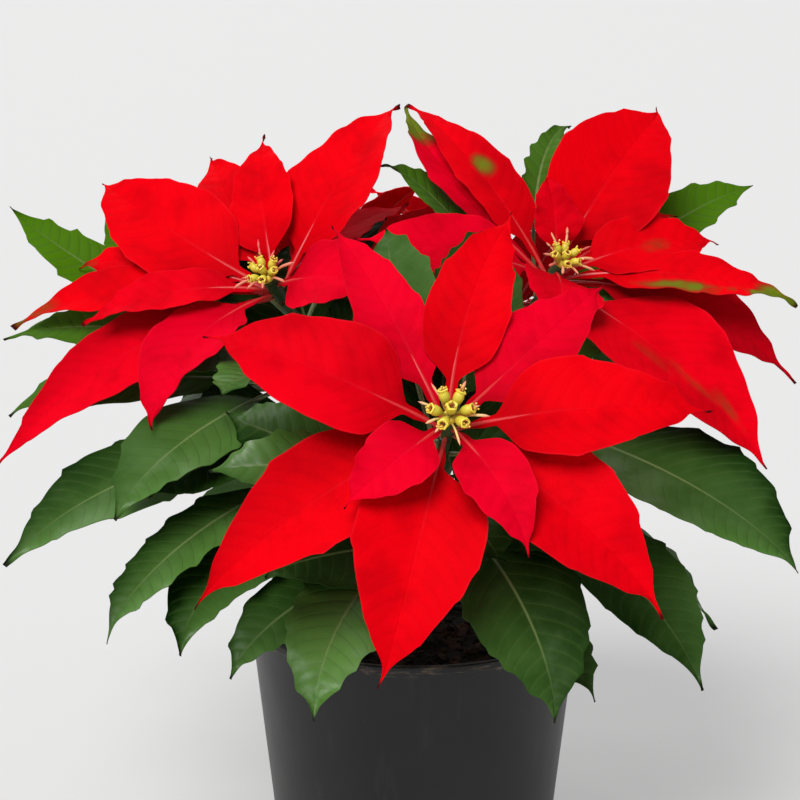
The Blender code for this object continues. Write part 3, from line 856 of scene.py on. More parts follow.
# %% [markdown]
# ## A fine blade
#
# A real blade is about half a millimetre thick. Between its side veins it swells a little, its
# margin waves, and it has a few small teeth; a leaf has more and larger ones than a bract. It is
# made from a grid that is laid along the midrib, and extruded down by its thickness, which also
# closes its edge. Each point keeps a few numbers that the finish reads later, such as how far
# it is from the midrib and how many side veins have left the midrib before it.

# %% The small things that make one blade differ from the next
FINE_STEPS = 60
FINE_LANES = 16
BLADE_THICK = 0.45 * MM

# Half the width of a blade where it is thinnest, in millimetres: at its stalk and at its tip.
THIN_HALF = (0.5, 0.28)

# The swell between two veins has its full height from this share of the way to the margin, and
# from this half-width on.
SWELL_FROM = 0.15
SWELL_FULL_HALF = 8 * MM

# Side veins: how far apart they leave the midrib, and how they slant and curve to the margin.
VEIN_SPACING = 7.5 * MM
VEIN_SLANT = 0.55
VEIN_CURVE = 0.35

# Teeth: the part of the blade that has them, how long each rises and drops along the margin,
# and the half-width from which they have their full height.
TOOTH_SPAN = (0.42, 0.90)
TOOTH_RISE = 7 * MM
TOOTH_DROP = 2.5 * MM
TOOTH_FULL_HALF = 6 * MM

# Ripples of the margin, how far a tip hooks down or up and bends aside, all in millimetres, and
# how much one side may be painted paler on a leaf and darker on a bract, as painted light and
# shade.
RIPPLE_TURN = 17 * math.pi
RIPPLE_STARTS = 6.28
RIPPLE_MM = (0.2, 0.55)
HOOK_MM = (-2.2, 1.2)
CURL_MM = (-3, 3)
LEAN = (-0.25, 0.25)

# Where along the blade its tip begins to bend, and where it begins to be drawn out.
BEND_START, BEND_REACH = 0.86, 0.14
TAIL_START, TAIL_REACH = 0.80, 0.13

# What each point keeps for the finish: its distance along and across, its count of veins, its
# place across and along as shares, whether it is on the lower face, the blade's own looks, and
# its painted shade and light.
NUMBERS = ("along", "across", "vein", "lane", "share", "under", "tone", "hue", "mark", "shade")

# For each kind: how far it swells between its veins, how many teeth a side, their height, the
# radius of its stalk, the half-width of the narrow wing along its stalk, the share of the
# blade over which it widens from its stalk, and how far its tip is drawn out.
BODIES = {
    "bract": (0.30 * MM, (1, 3), (0.7 * MM, 1.9 * MM), 0.95 * MM, 2.7 * MM, 0.19, 0.60),
    "leaf": (0.42 * MM, (3, 6), (1.2 * MM, 2.8 * MM), 1.15 * MM, 0, 0.04, 0.35),
}

# The wing of a bract's stalk widens from this share of the stalk on, and the blade takes over
# from it before WING_END. A stalk without a wing meets its blade at STALK_OVERLAP of its length.
# WEDGE_LEAD is how far the blade has begun to widen where its stalk ends.
WING_START = 0.25
WING_END = 0.5
STALK_OVERLAP = 0.94
WEDGE_LEAD = 0.015


class Look:
    """What makes one blade differ from the next: its margin, its tip, its tone and its spots.

    tone and hue choose its colour; lean paints one side of a leaf paler, as painted light, and one
    side of a bract darker, as painted shade, and dark paints the whole of it darker.
    lift and roll raise or tilt it clear of its neighbours, and narrowing makes it slimmer."""

    def __init__(self, kind, chance):
        self.swell, teeth, heights, self.stalk_radius, *rest = BODIES[kind]
        self.wing, self.wedge, self.tail = rest
        self.teeth = []
        for side in (-1, 1):
            count = chance.randint(*teeth)
            for k in range(count):
                place = mix(*TOOTH_SPAN, (k + chance.uniform(0.2, 0.8)) / count)
                self.teeth.append((side, place, chance.uniform(*heights)))
        self.ripple = chance.uniform(*RIPPLE_MM) * MM
        self.starts = {side: chance.uniform(0, RIPPLE_STARTS) for side in (-1, 1)}
        self.hook, self.curl = chance.uniform(*HOOK_MM) * MM, chance.uniform(*CURL_MM) * MM
        self.tone, self.hue = chance.random(), chance.random()
        self.lean, self.dark = chance.uniform(*LEAN), 0.0
        self.lift, self.roll, self.narrowing, self.spots = 0.0, 0.0, 1.0, []

    def tooth(self, s, side, length):
        """How far the margin stands out at s: a tooth rises slowly and drops at its tip."""
        out = 0.0
        for tooth_side, place, height in self.teeth:
            gone = (s - place) * length
            if tooth_side == side and -TOOTH_RISE < gone < TOOTH_DROP:
                slope = 1 + gone / TOOTH_RISE if gone < 0 else 1 - gone / TOOTH_DROP
                out = max(out, height * slope)
        return out

    def mark(self, s, t):
        """How green a red blade is there: 1 in the middle of a spot, 0 outside."""
        share = 0.0
        for spot_s, spot_t, size_s, size_t, strength in self.spots:
            gone = math.hypot((s - spot_s) / size_s, (t - spot_t) / size_t)
            share = max(share, strength * max(0.0, 1 - gone * gone))
        return share


# %% Sections across a blade
def smooth(share):
    """From 0 to 1 with a soft start and a soft end."""
    share = min(1.0, max(0.0, share))
    return share * share * (3 - 2 * share)


class Section:
    """The midrib, the directions and the half-widths at one place along a blade."""

    def __init__(self, blade, look, s):
        length = (blade.tip - blade.root).length
        middle, self.side, self.normal = blade.frame(s)
        bent = max(0.0, (s - BEND_START) / BEND_REACH) ** 2
        off = self.normal * (look.hook * bent) + self.side * (look.curl * bent)
        self.middle, self.s, self.along = middle + off, s, s * length
        u = blade.gone(s)
        self.ease = min(1.0, u / EASE_SHARE)
        half = blade.half_width(s)
        if half <= mix(STALK_HALF, TIP_HALF, u) + 1e-9:
            half = mix(*THIN_HALF, u) * MM
        if u:
            half *= look.narrowing * smooth((u + WEDGE_LEAD) / look.wedge)
        drawn_out = look.tail * smooth((u - TAIL_START) / TAIL_REACH)
        half = max(THIN_HALF[1] * MM, half * (1 - drawn_out))
        winged = (s / blade.stalk - WING_START) / (1 - WING_START)
        if s < WING_END:
            half = max(half, look.wing * min(1.0, max(0.0, winged)))
        grown = min(1.0, half / TOOTH_FULL_HALF)
        self.half = {t: half + look.tooth(s, t, length) * grown for t in (-1, 1)}


# %% The shape across a section
KEEL_ROUNDING = 0.005


def vein_count(along, across, t):
    """How many side veins have left the midrib before the one that passes there."""
    reach = abs(across)
    return (along - VEIN_SLANT * reach - VEIN_CURVE * reach * t * t) / VEIN_SPACING


def blade_height(blade, look, cut, t, vein):
    """How far the blade stands above its midrib, at t across that section."""
    side = -1 if t < 0 else 1
    half = cut.half[side]
    keel = math.sqrt(t * t + KEEL_ROUNDING) - math.sqrt(KEEL_ROUNDING)
    height = half * blade.fold * keel
    height += blade.wave * t * t * math.sin(WAVE_TURN * cut.s + blade.phase + t)
    height += look.ripple * abs(t) ** 3 * math.sin(RIPPLE_TURN * cut.s + look.starts[side])
    swell = 0.5 + 0.5 * math.cos(2 * math.pi * (vein + (0.5 if t < 0 else 0)))
    inner = (1 - t**4) * min(1.0, abs(t) / SWELL_FROM) * min(1.0, half / SWELL_FULL_HALF)
    height += look.lift + look.swell * swell * inner
    return cut.ease * height + look.roll * half * t


# %% Make the flat of a blade
def numbered_mesh():
    """An empty bmesh whose points can keep the numbers."""
    bm = bmesh.new()
    return bm, {name: bm.verts.layers.float.new(name) for name in NUMBERS}


def lay_blade(bm, numbers, blade, look):
    """The blade from the end of its stalk to its tip, as a thin closed shell."""
    start = blade.stalk * (WING_START if look.wing else STALK_OVERLAP)
    cuts = [Section(blade, look, mix(start, 1, k / FINE_STEPS)) for k in range(FINE_STEPS + 1)]
    grid = bmesh.ops.create_grid(bm, x_segments=FINE_STEPS, y_segments=FINE_LANES, size=1)
    for vert in grid["verts"]:
        cut, t = cuts[round((vert.co.x + 1) / 2 * FINE_STEPS)], vert.co.y
        across = cut.half[-1 if t < 0 else 1] * t
        vein = vein_count(cut.along, across, t)
        height = blade_height(blade, look, cut, t, vein) + BLADE_THICK / 2
        vert.co = cut.middle + cut.side * across + cut.normal * height
        # The shade number is painted light and shade: lean paints one side, and dark the whole
        # blade.
        mark, shade = look.mark(cut.s, t), look.lean * t + look.dark
        values = (cut.along, across, vein, t, cut.s, 0, look.tone, look.hue, mark, shade)
        for name, value in zip(NUMBERS, values):
            vert[numbers[name]] = value
    upper = list(dict.fromkeys(face for vert in grid["verts"] for face in vert.link_faces))
    lower = bmesh.ops.extrude_face_region(bm, geom=upper, use_keep_orig=True)["geom"]
    for vert in lower:
        if isinstance(vert, bmesh.types.BMVert):
            k = round((vert[numbers["share"]] - start) / (1 - start) * FINE_STEPS)
            vert.co -= cuts[k].normal * BLADE_THICK
            vert[numbers["under"]] = 1


# %% [markdown]
# A stalk, a stem and a flower cup are all tubes whose radius changes along them. A grid is
# rolled into a tube: one of its sides becomes the way along, the other the way round. Where
# the radius is nothing, a ring of points falls together into one, which closes the end.

# %% Roll a grid into a tube
def roll(bm, steps, sides, place, numbers, values, material=0):
    """place(s, turn) gives each point of a tube; values(s) the numbers that it keeps."""
    grid = bmesh.ops.create_grid(bm, x_segments=steps, y_segments=sides, size=1)["verts"]
    for vert in grid:
        s, turn = (vert.co.x + 1) / 2, (vert.co.y + 1) * math.pi
        vert.co = place(s, turn)
        for name, value in values(s).items():
            vert[numbers[name]] = value
    for face in {face for vert in grid for face in vert.link_faces}:
        face.material_index = material
    bmesh.ops.remove_doubles(bm, verts=grid, dist=1e-7)


def ring(side, other, radius, turn):
    """How far a point of a tube is from the tube's middle."""
    return side * (radius * math.cos(turn)) + other * (radius * math.sin(turn))


# %% Make the stalk and the midrib of a blade
RIB_END = 0.93
RIB_STEPS = 26
RIB_SIDES = 8
RIB_TIP_RADIUS = 0.22 * MM
RIB_SUNK = 0.45
RIB_THINS = 0.6
FOOT_FLARE = 0.35 * MM
FLARE_FADE = 30


def lay_stalk(bm, numbers, blade, look):
    """One tapered tube: round in the stalk, then half sunk in the blade's lower face."""
    same = {"tone": look.tone, "hue": look.hue, "lane": blade.stalk}
    length = (blade.tip - blade.root).length

    def rib_radius(share):
        if share in (0, RIB_END):
            return 0.0
        if share < blade.stalk:
            return look.stalk_radius + FOOT_FLARE * math.exp(-share * FLARE_FADE)
        gone = (share - blade.stalk) / RIB_END
        return mix(look.stalk_radius, RIB_TIP_RADIUS, gone**RIB_THINS)

    def place(s, turn):
        cut, radius = Section(blade, look, s * RIB_END), rib_radius(s * RIB_END)
        sunk = (look.lift - radius * RIB_SUNK - BLADE_THICK / 2) * cut.ease
        return cut.middle + cut.normal * sunk + ring(cut.side, cut.normal, radius, turn)

    def values(s):
        return {"share": s * RIB_END, "along": s * RIB_END * length, **same}

    roll(bm, RIB_STEPS, RIB_SIDES, place, numbers, values, 1)

# %% [markdown]
# ## The finish of bracts and leaves
#
# Both kinds have a pale midrib, side veins and a fine net between them. The side veins are read
# from the number that counts them: where its fraction is one half, there is a vein. The other
# side of the midrib is half a count out of step, as veins alternate. The same masks colour the
# blade and press the veins in.


# %% Masks that both finishes read
NET_SCALE = 520
CLOUD_SCALE = 45
FINE_SCALE = 900

# Where each mask begins and where it is full: a vein and its halo by shares of the vein
# spacing, the midrib by metres, the net by shares of its mesh, and the rest by shares of the
# way to the margin or to the tip. RIB_NARROWS is how much narrower the midrib is at the tip.
VEIN_FADE, HALO_FADE = (0.075, 0.015), (0.30, 0.02)
RIB_FADE, RIB_NARROWS = (0.0013, 0.0005), 0.0006
NET_FADE = (0.09, 0.0)
INSIDE_FADE, EDGE_FADE = (0.99, 0.80), (0.95, 1.0)
TIP_FADE = (0.960, 0.990)


class BladeMasks:
    """Where a blade has veins, a net, clouds of tone and so on, each from 0 to 1."""

    def __init__(self, finish):
        self.share, self.tone = finish.read("share"), finish.read("tone")
        self.hue, self.under = finish.read("hue"), finish.read("under")
        across, lane = abs(finish.read("across")), finish.read("lane")
        other_side = lane.sum("LESS_THAN", 0) * 0.5
        count = (finish.read("vein") + other_side).sum("FRACT")
        off_vein = abs(count - 0.5)
        inside = abs(lane).ramp(*INSIDE_FADE)
        self.veins = off_vein.ramp(*VEIN_FADE) * inside
        self.halo = off_vein.ramp(*HALO_FADE) * inside
        self.rib = (across + self.share * RIB_NARROWS).ramp(*RIB_FADE)
        self.edge = abs(lane).ramp(*EDGE_FADE)
        flat = finish.node(
            "ShaderNodeCombineXYZ",
            {},
            {"X": finish.read("along"), "Y": finish.read("across"), "Z": self.tone},
        )["Vector"]
        net = finish.node(
            "ShaderNodeTexVoronoi",
            {"feature": "DISTANCE_TO_EDGE"},
            {"Vector": flat, "Scale": NET_SCALE},
        )["Distance"]
        self.net = net.ramp(*NET_FADE)
        self.cloud = finish.grains(flat, CLOUD_SCALE, 4)
        self.fine = finish.grains(flat, FINE_SCALE, 3)
        self.tip = self.share.ramp(*TIP_FADE)

    def relief(self, finish, depth, veins):
        """The veins are pressed into the upper face, and stand out of the lower one."""
        pressed = self.veins * veins + self.halo * 0.5 + self.rib + self.net * 0.2
        height = pressed * (self.under * 2 - 1) + self.fine * 0.22
        return finish.relief(height, depth, 0.55)


def through(finish, shader, colour, normal, share):
    """Mixes in the light that comes through a thin blade from behind."""
    glow = finish.node("ShaderNodeBsdfTranslucent", {}, {"Color": colour, "Normal": normal})
    values = {0: share, 1: shader, 2: glow["BSDF"]}
    return finish.node("ShaderNodeMixShader", {}, values)[0]


# %% [markdown]
# A red bract is matt and velvety. Some are scarlet and some crimson. Its veins are a little
# darker, its midrib and stalk are pink, its thin margin is paler, partly by its own colour and
# partly as a painted rim of light, and its drawn-out tip dries to a dark brownish red. Painted
# shade darkens each bract towards its base and on one side, and a few all over. A few bracts
# keep patches of leaf green.

# %% Red bracts
SCARLET = (0.87, 0.0003, 0.0055)
CRIMSON = (0.86, 0.0003, 0.0205)
# The vein red also paints shade: the base and one side of a bract are darkened with it.
VEIN_AND_SHADE_RED = (0.36, 0.0003, 0.0040)
# The rib pink also paints the paler margin, partly its own colour and partly a painted rim of
# light.
RIB_AND_RIM_LIGHT_PINK = (0.90, 0.028, 0.055)
BACK_RED = (0.60, 0.006, 0.014)
TIP_BROWN = (0.045, 0.006, 0.008)
PATCH_GREEN = (0.155, 0.210, 0.013)
PATCH_BROWN = (0.240, 0.045, 0.012)
BRACT_RELIEF = 0.22 * MM
BRACT_GLOW = 0.20

bract_finish = Finish("red_bract")
on = BladeMasks(bract_finish)
# Painted shade: darker towards the base of each bract, and on one side and over the whole of it by
# its shade number.
painted_bract_shade = on.share.ramp(0.46, 0.14) * 0.48 + bract_finish.read("shade") * 1.25
green_here = bract_finish.read("mark") * on.cloud.ramp(0.30, 0.55)
red = bract_finish.layers(
    SCARLET,
    (on.hue.ramp(0.25, 0.9), CRIMSON),
    (on.halo * on.cloud * 0.12 + painted_bract_shade, VEIN_AND_SHADE_RED),
    (on.cloud.ramp(0.42, 0.72) * 0.38, VEIN_AND_SHADE_RED),
    (on.veins * 0.03 + on.net * 0.05, VEIN_AND_SHADE_RED),
    (on.rib * on.share.ramp(0.60, 0.10) * 0.20, RIB_AND_RIM_LIGHT_PINK),
    # The paler margin is partly the bract's own colour and partly a painted rim of light.
    (on.edge * 0.15, RIB_AND_RIM_LIGHT_PINK),
    (on.under * 0.55, BACK_RED),
    (green_here.ramp(0.0, 0.55) * 0.8, PATCH_BROWN),
    (green_here.ramp(0.3, 0.9), PATCH_GREEN),
    (on.tip * 0.9, TIP_BROWN),
)
relief = on.relief(bract_finish, BRACT_RELIEF, 0.08)
velvet = bract_finish.surface(
    Base_Color=red,
    Roughness=on.cloud * 0.14 + 0.48,
    Specular_IOR_Level=0.012,
    Normal=relief,
)
red_bract = bract_finish.done(through(bract_finish, velvet, red, relief, BRACT_GLOW))

# %% [markdown]
# A green leaf is darker and has more gloss than a bract. The gloss is a thin coat of wax, and it
# is worn in places. Its veins are pale, its lower face is matt and grey-green, and its tip dries
# almost black. Its paleness is partly its own tone and partly painted light: one side is painted
# paler as if lit, and the palest green stands in for sheen. Some leaves at the top are a bright
# yellow-green, partly as young leaves are and partly as painted light that shines through them.

# %% Green leaves
LEAF_DARK = (0.0025, 0.0190, 0.0004)
# The pale green is partly a paler tone and partly painted light and sheen.
LEAF_PALE_AND_LIT = (0.0950, 0.2250, 0.0400)
# The young yellow-green is partly young growth and partly painted light that shines through from
# behind.
LEAF_YOUNG_AND_BACKLIT = (0.0700, 0.1900, 0.0015)
LEAF_VEIN = (0.0750, 0.1500, 0.0300)
LEAF_RIB = (0.2300, 0.3200, 0.1100)
LEAF_BACK = (0.0500, 0.1150, 0.0280)
LEAF_TIP = (0.0100, 0.0080, 0.0050)
LEAF_RELIEF = 0.45 * MM
LEAF_GLOW = 0.22

leaf_finish = Finish("green_leaf")
on = BladeMasks(leaf_finish)
# Painted light: besides the leaf's own tone and clouds, one side is painted paler as if lit, and
# the pale end stands in for sheen.
tone_and_painted_light = on.tone * 0.88 + leaf_finish.read("shade") * 1.1 + on.cloud * 0.55 - 0.14
green = leaf_finish.layers(
    LEAF_DARK,
    (tone_and_painted_light, LEAF_PALE_AND_LIT),
    (on.hue.ramp(0.4, 1.0), LEAF_YOUNG_AND_BACKLIT),
    (on.halo * 0.12, LEAF_VEIN),
    (on.veins * 0.22 + on.net * 0.05, LEAF_VEIN),
    (on.rib * on.share.ramp(1.0, 0.35) * 0.9, LEAF_RIB),
    (on.under * 0.6, LEAF_BACK),
    (on.tip * 0.9, LEAF_TIP),
)
relief = on.relief(leaf_finish, LEAF_RELIEF, 0.8)
gloss = (tone_and_painted_light - 0.15) * on.cloud.ramp(0.30, 0.60) * (1 - on.hue.ramp(0.4, 0.8))
satin = leaf_finish.surface(
    Base_Color=green,
    Roughness=on.cloud * 0.16 + on.under * 0.2 + 0.40,
    Specular_IOR_Level=0.04,
    Coat_Weight=gloss * (1 - on.under),
    Coat_Roughness=0.33,
    Normal=relief,
)
lit_green = leaf_finish.blend(0.5, green, LEAF_YOUNG_AND_BACKLIT)
green_leaf = leaf_finish.done(through(leaf_finish, satin, lit_green, relief, LEAF_GLOW))

# %% [markdown]
# Stalks and stems are smooth and slightly waxy. A bract's stalk runs from cream at its root to
# pink, and a leaf's is pale green. A stem is green near its bloom and brown at its foot.


# %% Stalks and stems
def stalk_finish(name, root, middle, rib):
    """Root colour, then stalk, then midrib. The mesh keeps where the stalk ends as lane."""
    finish = Finish(name)
    gone = finish.read("share")
    streaks = finish.grains(finish.place(), 420, 3)
    colour = finish.layers(
        root,
        (gone.ramp(0.0, 0.05), middle),
        ((gone - finish.read("lane")).ramp(0.0, 0.12), rib),
        (finish.read("hue") * 0.25, middle),
        (streaks.ramp(0.4, 0.8) * 0.08, root),
    )
    coat = finish.surface(
        Base_Color=colour,
        Roughness=0.42,
        Normal=finish.relief(streaks, 0.0002, 0.4),
    )
    return finish.done(coat)


bract_stalk = stalk_finish(
    "bract_stalk", (0.60, 0.22, 0.10), (0.62, 0.022, 0.024), (0.60, 0.010, 0.018)
)
leaf_stalk = stalk_finish(
    "leaf_stalk", (0.12, 0.17, 0.050), (0.16, 0.22, 0.070), (0.090, 0.17, 0.055)
)

STEM_GREENS = ((0.022, 0.050, 0.012), (0.050, 0.095, 0.026))
STEM_BROWNS = ((0.085, 0.070, 0.032), (0.150, 0.115, 0.060))

stem_finish = Finish("green_stem")
lines = stem_finish.grains(stem_finish.place(), 300, 4)
young = stem_finish.blend(lines.ramp(0.35, 0.7), *STEM_GREENS)
old = stem_finish.blend(lines.ramp(0.3, 0.7), *STEM_BROWNS)
waxy = stem_finish.surface(
    Base_Color=stem_finish.blend(stem_finish.read("share").ramp(0.45, 0.0), young, old),
    Roughness=0.48,
    Normal=stem_finish.relief(lines, 0.0004, 0.5),
)
green_stem = stem_finish.done(waxy)

# %% [markdown]
# ## Lay every blade
#
# The looks of the blades at the front are given one by one, and the rest take theirs by chance.
# Each blade is known by its node and its number there. Each bloom's bracts become one piece, and
# each stem with its leaves another, in place of the plain solids.

# %% Which blades are special
# Leaves that turn yellow-green, from 0 to 1: partly young leaves, partly painted light that shines
# through them from behind.
YOUNG_AND_BACKLIT_LEAVES = {
    ("leafy_stem_back_left", 0): 1.00,
    ("leafy_stem_back_left", 1): 0.95,
    ("leafy_stem_back_right", 0): 0.90,
    ("leafy_stem_left", 4): 0.65,
    ("leafy_stem_left", 5): 0.75,
    ("leafy_stem_right", 2): 0.70,
    ("leafy_stem_right", 3): 0.75,
    ("leafy_stem_right", 4): 0.65,
}

# How pale each leaf is, dark at 0 and pale at 1: partly its own tone, and partly painted light,
# dark for a leaf in shade and pale for one with sheen.
LEAF_TONES = {
    "leafy_stem_front": (0.85, 0.12, 0.60, 0.20, 0.30, 0.45, 0.20, 0.10, 0.15, 0.12, 0.00),
    "leafy_stem_left": (
        0.45, 0.62, 0.50, 0.18, 0.50, 0.50, 0.72, 0.10, 0.10, 0.30, 0.30, 0.10, 0.00,
    ),
    "leafy_stem_right": (0.42, 0.22, 0.50, 0.55, 0.40),
    "leafy_stem_back_left": (0.50, 0.50, 0.10, 0.10),
}

# Painted shade: how much darker one side of a bract is painted, and how much darker the whole of
# it.
BRACT_SHADES = {
    ("bracts_front", 2): (0.32, 0.05),
    ("bracts_front", 1): (0.10, 0.00),
    ("bracts_front", 0): (-0.12, 0.00),
    ("bracts_front", 3): (0.12, 0.00),
    ("bracts_front", 4): (0.15, 0.00),
    ("bracts_left", 0): (0.35, 0.08),
    ("bracts_left", 1): (0.15, 0.05),
    ("bracts_right", 1): (0.10, 0.50),
}

# Painted light: how much paler one side of a leaf is painted, as if lit; above 0 for the side to
# the left of its tip.
LEAF_LIT_SIDES = {
    "leafy_stem_front": (-0.20, 0.15, 0.15, -0.10, -0.25, 0.10, 0.10),
    "leafy_stem_left": (-0.40, -0.20, -0.40, -0.35, 0.10, 0.20, 0.15),
    "leafy_stem_right": (0.42, -0.10, 0.20, -0.20, 0.10),
}

# How red each bract is: scarlet at 0, crimson at 1.
BRACT_HUES = {
    "bracts_front": (0.20, 0.35, 0.25, 0.10, 0.45, 0.85, 0.05, 0.80, 0.95, 0.85),
    "bracts_left": (0.55, 0.95, 0.15, 0.10, 0.05, 0.20, 0.30, 0.35, 0.80, 0.50, 0.75),
    "bracts_right": (0.45, 0.60, 0.35, 0.05, 0.75, 0.25, 0.20, 0.60, 0.20, 0.50, 0.95),
}

# Leaves that are narrower than their solid ones.
NARROW_LEAVES = {
    ("leafy_stem_left", 2): 0.72,
    ("leafy_stem_right", 2): 0.75,
    ("leafy_stem_right", 5): 0.80,
    ("leafy_stem_back_left", 0): 0.85,
    ("leafy_stem_back_right", 0): 0.82,
}

# Tips that are drawn out to one side, and how far.
TAILS = {
    ("bracts_right", 3): -5 * MM,
    ("bracts_left", 2): 2 * MM,
    ("bracts_front", 0): 2 * MM,
    ("leafy_stem_right", 5): 0.0,
}

# A green patch: its place along and across the bract, its reach both ways, and its strength.
GREEN_PATCHES = {
    ("bracts_right", 0): [
        (0.45, 0.20, 0.13, 0.11, 0.30),
        (0.60, 0.02, 0.13, 0.13, 0.34),
        (0.75, -0.18, 0.12, 0.16, 0.38),
    ],
    ("bracts_right", 2): [(0.525, 0.24, 0.070, 0.42, 0.80)],
    ("bracts_right", 5): [(0.55, 0.1, 0.12, 0.35, 0.4)],
    ("bracts_right", 6): [
        (0.97, 0.3, 0.23, 2.0, 1.5),
        (0.74, 0.75, 0.28, 0.50, 1.2),
        (0.50, 0.70, 0.24, 0.40, 0.9),
    ],
    ("bracts_right", 10): [(0.92, 0.0, 0.26, 3.0, 1.6)],
    ("bracts_left", 5): [(0.95, 0.0, 0.22, 1.6, 0.7)],
    ("bracts_left", 7): [(0.95, 0.0, 0.12, 1.4, 0.5)],
}


# %% [markdown]
# Deep in the crown, the gaps round a bloom's hub show only deep shade. Small leaves, which the
# solid model leaves out, are put there to close them. They are painted the darkest green, with
# no paler side, as painted shade, and they are settled clear of all the others by the same tests.

# %% Small leaves in the shade
SHADE_FILL_LEAVES = {
    "front": [
        (66, -30, 90, 36, 0, 0.88),
        (-16, -34, 94, 32, 0, 0.84),
        (46, -74, 92, 36, 0, 0.72),
        (54, -22, 68, 46, 0, 0.60),
        (-22, -4, 68, 42, 0, 0.64),
        (12, -58, 84, 36, 0, 0.62),
    ],
    "left": [(-100, 76, -46, 34, 0, 0.88)],
}
inner = set()
for name, rows in SHADE_FILL_LEAVES.items():
    node, chance = "leafy_stem_" + name, random.Random("inner leaves " + name)
    for row in rows:
        if drawn_leaf(crown, stems[name], name, row, chance):
            inner.add((node, len(blades[node]) - 1))
print(len(inner), "small leaves in the shade")


# %% The look of one blade
def look_of(kind, node, k, chance):
    """The look of blade k of that node, from the tables where they have it."""
    look = Look(kind, chance)
    if kind == "leaf":
        look.hue = YOUNG_AND_BACKLIT_LEAVES.get((node, k), look.hue * 0.45)
        if k < len(LEAF_TONES.get(node, ())):
            look.tone = LEAF_TONES[node][k]
        if k < len(LEAF_LIT_SIDES.get(node, ())):
            look.lean = LEAF_LIT_SIDES[node][k]
        # Leaves that fill the deep shade are painted the darkest green, with no paler side, as
        # painted shade.
        if (node, k) in inner:
            look.tone, look.lean = 0.0, 0.0
    elif k < len(BRACT_HUES.get(node, ())):
        look.hue = BRACT_HUES[node][k]
        look.lean, look.dark = BRACT_SHADES.get((node, k), (look.lean, look.dark))
    look.spots = GREEN_PATCHES.get((node, k), [])
    look.curl = TAILS.get((node, k), look.curl)
    look.narrowing = NARROW_LEAVES.get((node, k), 1.0)
    return look


# %% Turn a finished bmesh into a piece of the plant
def as_piece(bm, name, finishes, slot, *nodes, sharp=42):
    """A piece that rides on the plant's one body, in place of the solids that it names."""
    bmesh.ops.recalc_face_normals(bm, faces=bm.faces)
    piece = new_object(bm, name, *finishes)
    piece.data.shade_smooth()
    piece.data.set_sharp_from_angle(angle=math.radians(sharp))
    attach(piece, "root")
    if nodes:
        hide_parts(*nodes)
    piece.data.calc_loop_triangles()
    print(f"{name}: {len(piece.data.loop_triangles)} triangles")


# %% Stems
STEM_STEPS = 80
STEM_SIDES = 14
STEM_SMOOTHING = 0.03
STEM_LOOK_AHEAD = 0.01
JOINT_CHECKS = 160
JOINT_SWELL = 0.7 * MM
JOINT_REACH = 0.013
STEM_FLARE = 1.2 * MM
STEM_FLARE_FADE = 18
STEM_RIDGES = 0.12 * MM
STEM_SIDE = UP + RIGHT * 0.3
HUB_STEPS = 24
HUB_SIDES = 16
HUB_STANDS_OUT = 0.4 * MM
HUB_KNOBS = 0.25 * MM


def lay_stem(bm, numbers, points, leaves):
    """A tube along the stem's line, a little swollen where each leaf grows from it."""
    checks = [k / JOINT_CHECKS for k in range(JOINT_CHECKS + 1)]
    joints = [
        min(checks, key=lambda s: (along_path(points, s) - leaf.root).length)
        for leaf in leaves
    ]

    def line(s):
        """The stem's line there, with its corners smoothed."""
        low, high = max(0.0, s - STEM_SMOOTHING), min(1.0, s + STEM_SMOOTHING)
        ends = along_path(points, low) + along_path(points, high)
        return (ends + along_path(points, s) * 2) / 4

    def place(s, turn):
        radius = 0.0
        if 0 < s < 1:
            swells = (math.exp(-(((s - joint) / JOINT_REACH) ** 2)) for joint in joints)
            radius = mix(*STEM_RADII, s)
            radius += sum(JOINT_SWELL * swell for swell in swells)
            radius += STEM_FLARE * math.exp(-s * STEM_FLARE_FADE)
            radius += STEM_RIDGES * math.sin(3 * turn + 9 * s)
        ahead, behind = min(1.0, s + STEM_LOOK_AHEAD), max(0.0, s - STEM_LOOK_AHEAD)
        along = (line(ahead) - line(behind)).normalized()
        side = along.cross(STEM_SIDE).normalized()
        return line(s) + ring(side, side.cross(along), radius, turn)

    roll(bm, STEM_STEPS, STEM_SIDES, place, numbers, lambda s: {"share": s}, 2)


def lay_hub(bm, numbers, name):
    """The head of the stem that the bracts grow from, knobbly with their scars."""
    axis, middle = bloom_place(name)
    side = ring_direction(axis, 0)
    other = side.cross(axis)

    def place(s, turn):
        radius = 0.0
        if 0 < s < 1:
            radius = mix(STEM_RADII[1] + HUB_STANDS_OUT, HUB_RADIUS, s)
            radius += HUB_KNOBS * math.sin(5 * turn + 40 * s)
        return middle - axis * HUB_LENGTH * (1 - s) + ring(side, other, radius, turn)

    roll(bm, HUB_STEPS, HUB_SIDES, place, numbers, lambda s: {"share": 0.8 + 0.2 * s}, 2)


# %% [markdown]
# The fine blades wave more freely than the solid ones, so two that lie close could cut each
# other. Each is tried against those laid before it, and is raised or lowered a little, and
# if need be its winged stalk narrowed, until it is clear.

# %% Keep the fine blades clear of each other
LIFTS = [step * 0.5 * MM for step in (0, 1, -1, 2, -2, 3, -3)]
ROLLS = (0.0, 0.05, -0.05, 0.10, -0.10)
WING_SHARES = (1.0, 0.45)
laid_trees = []


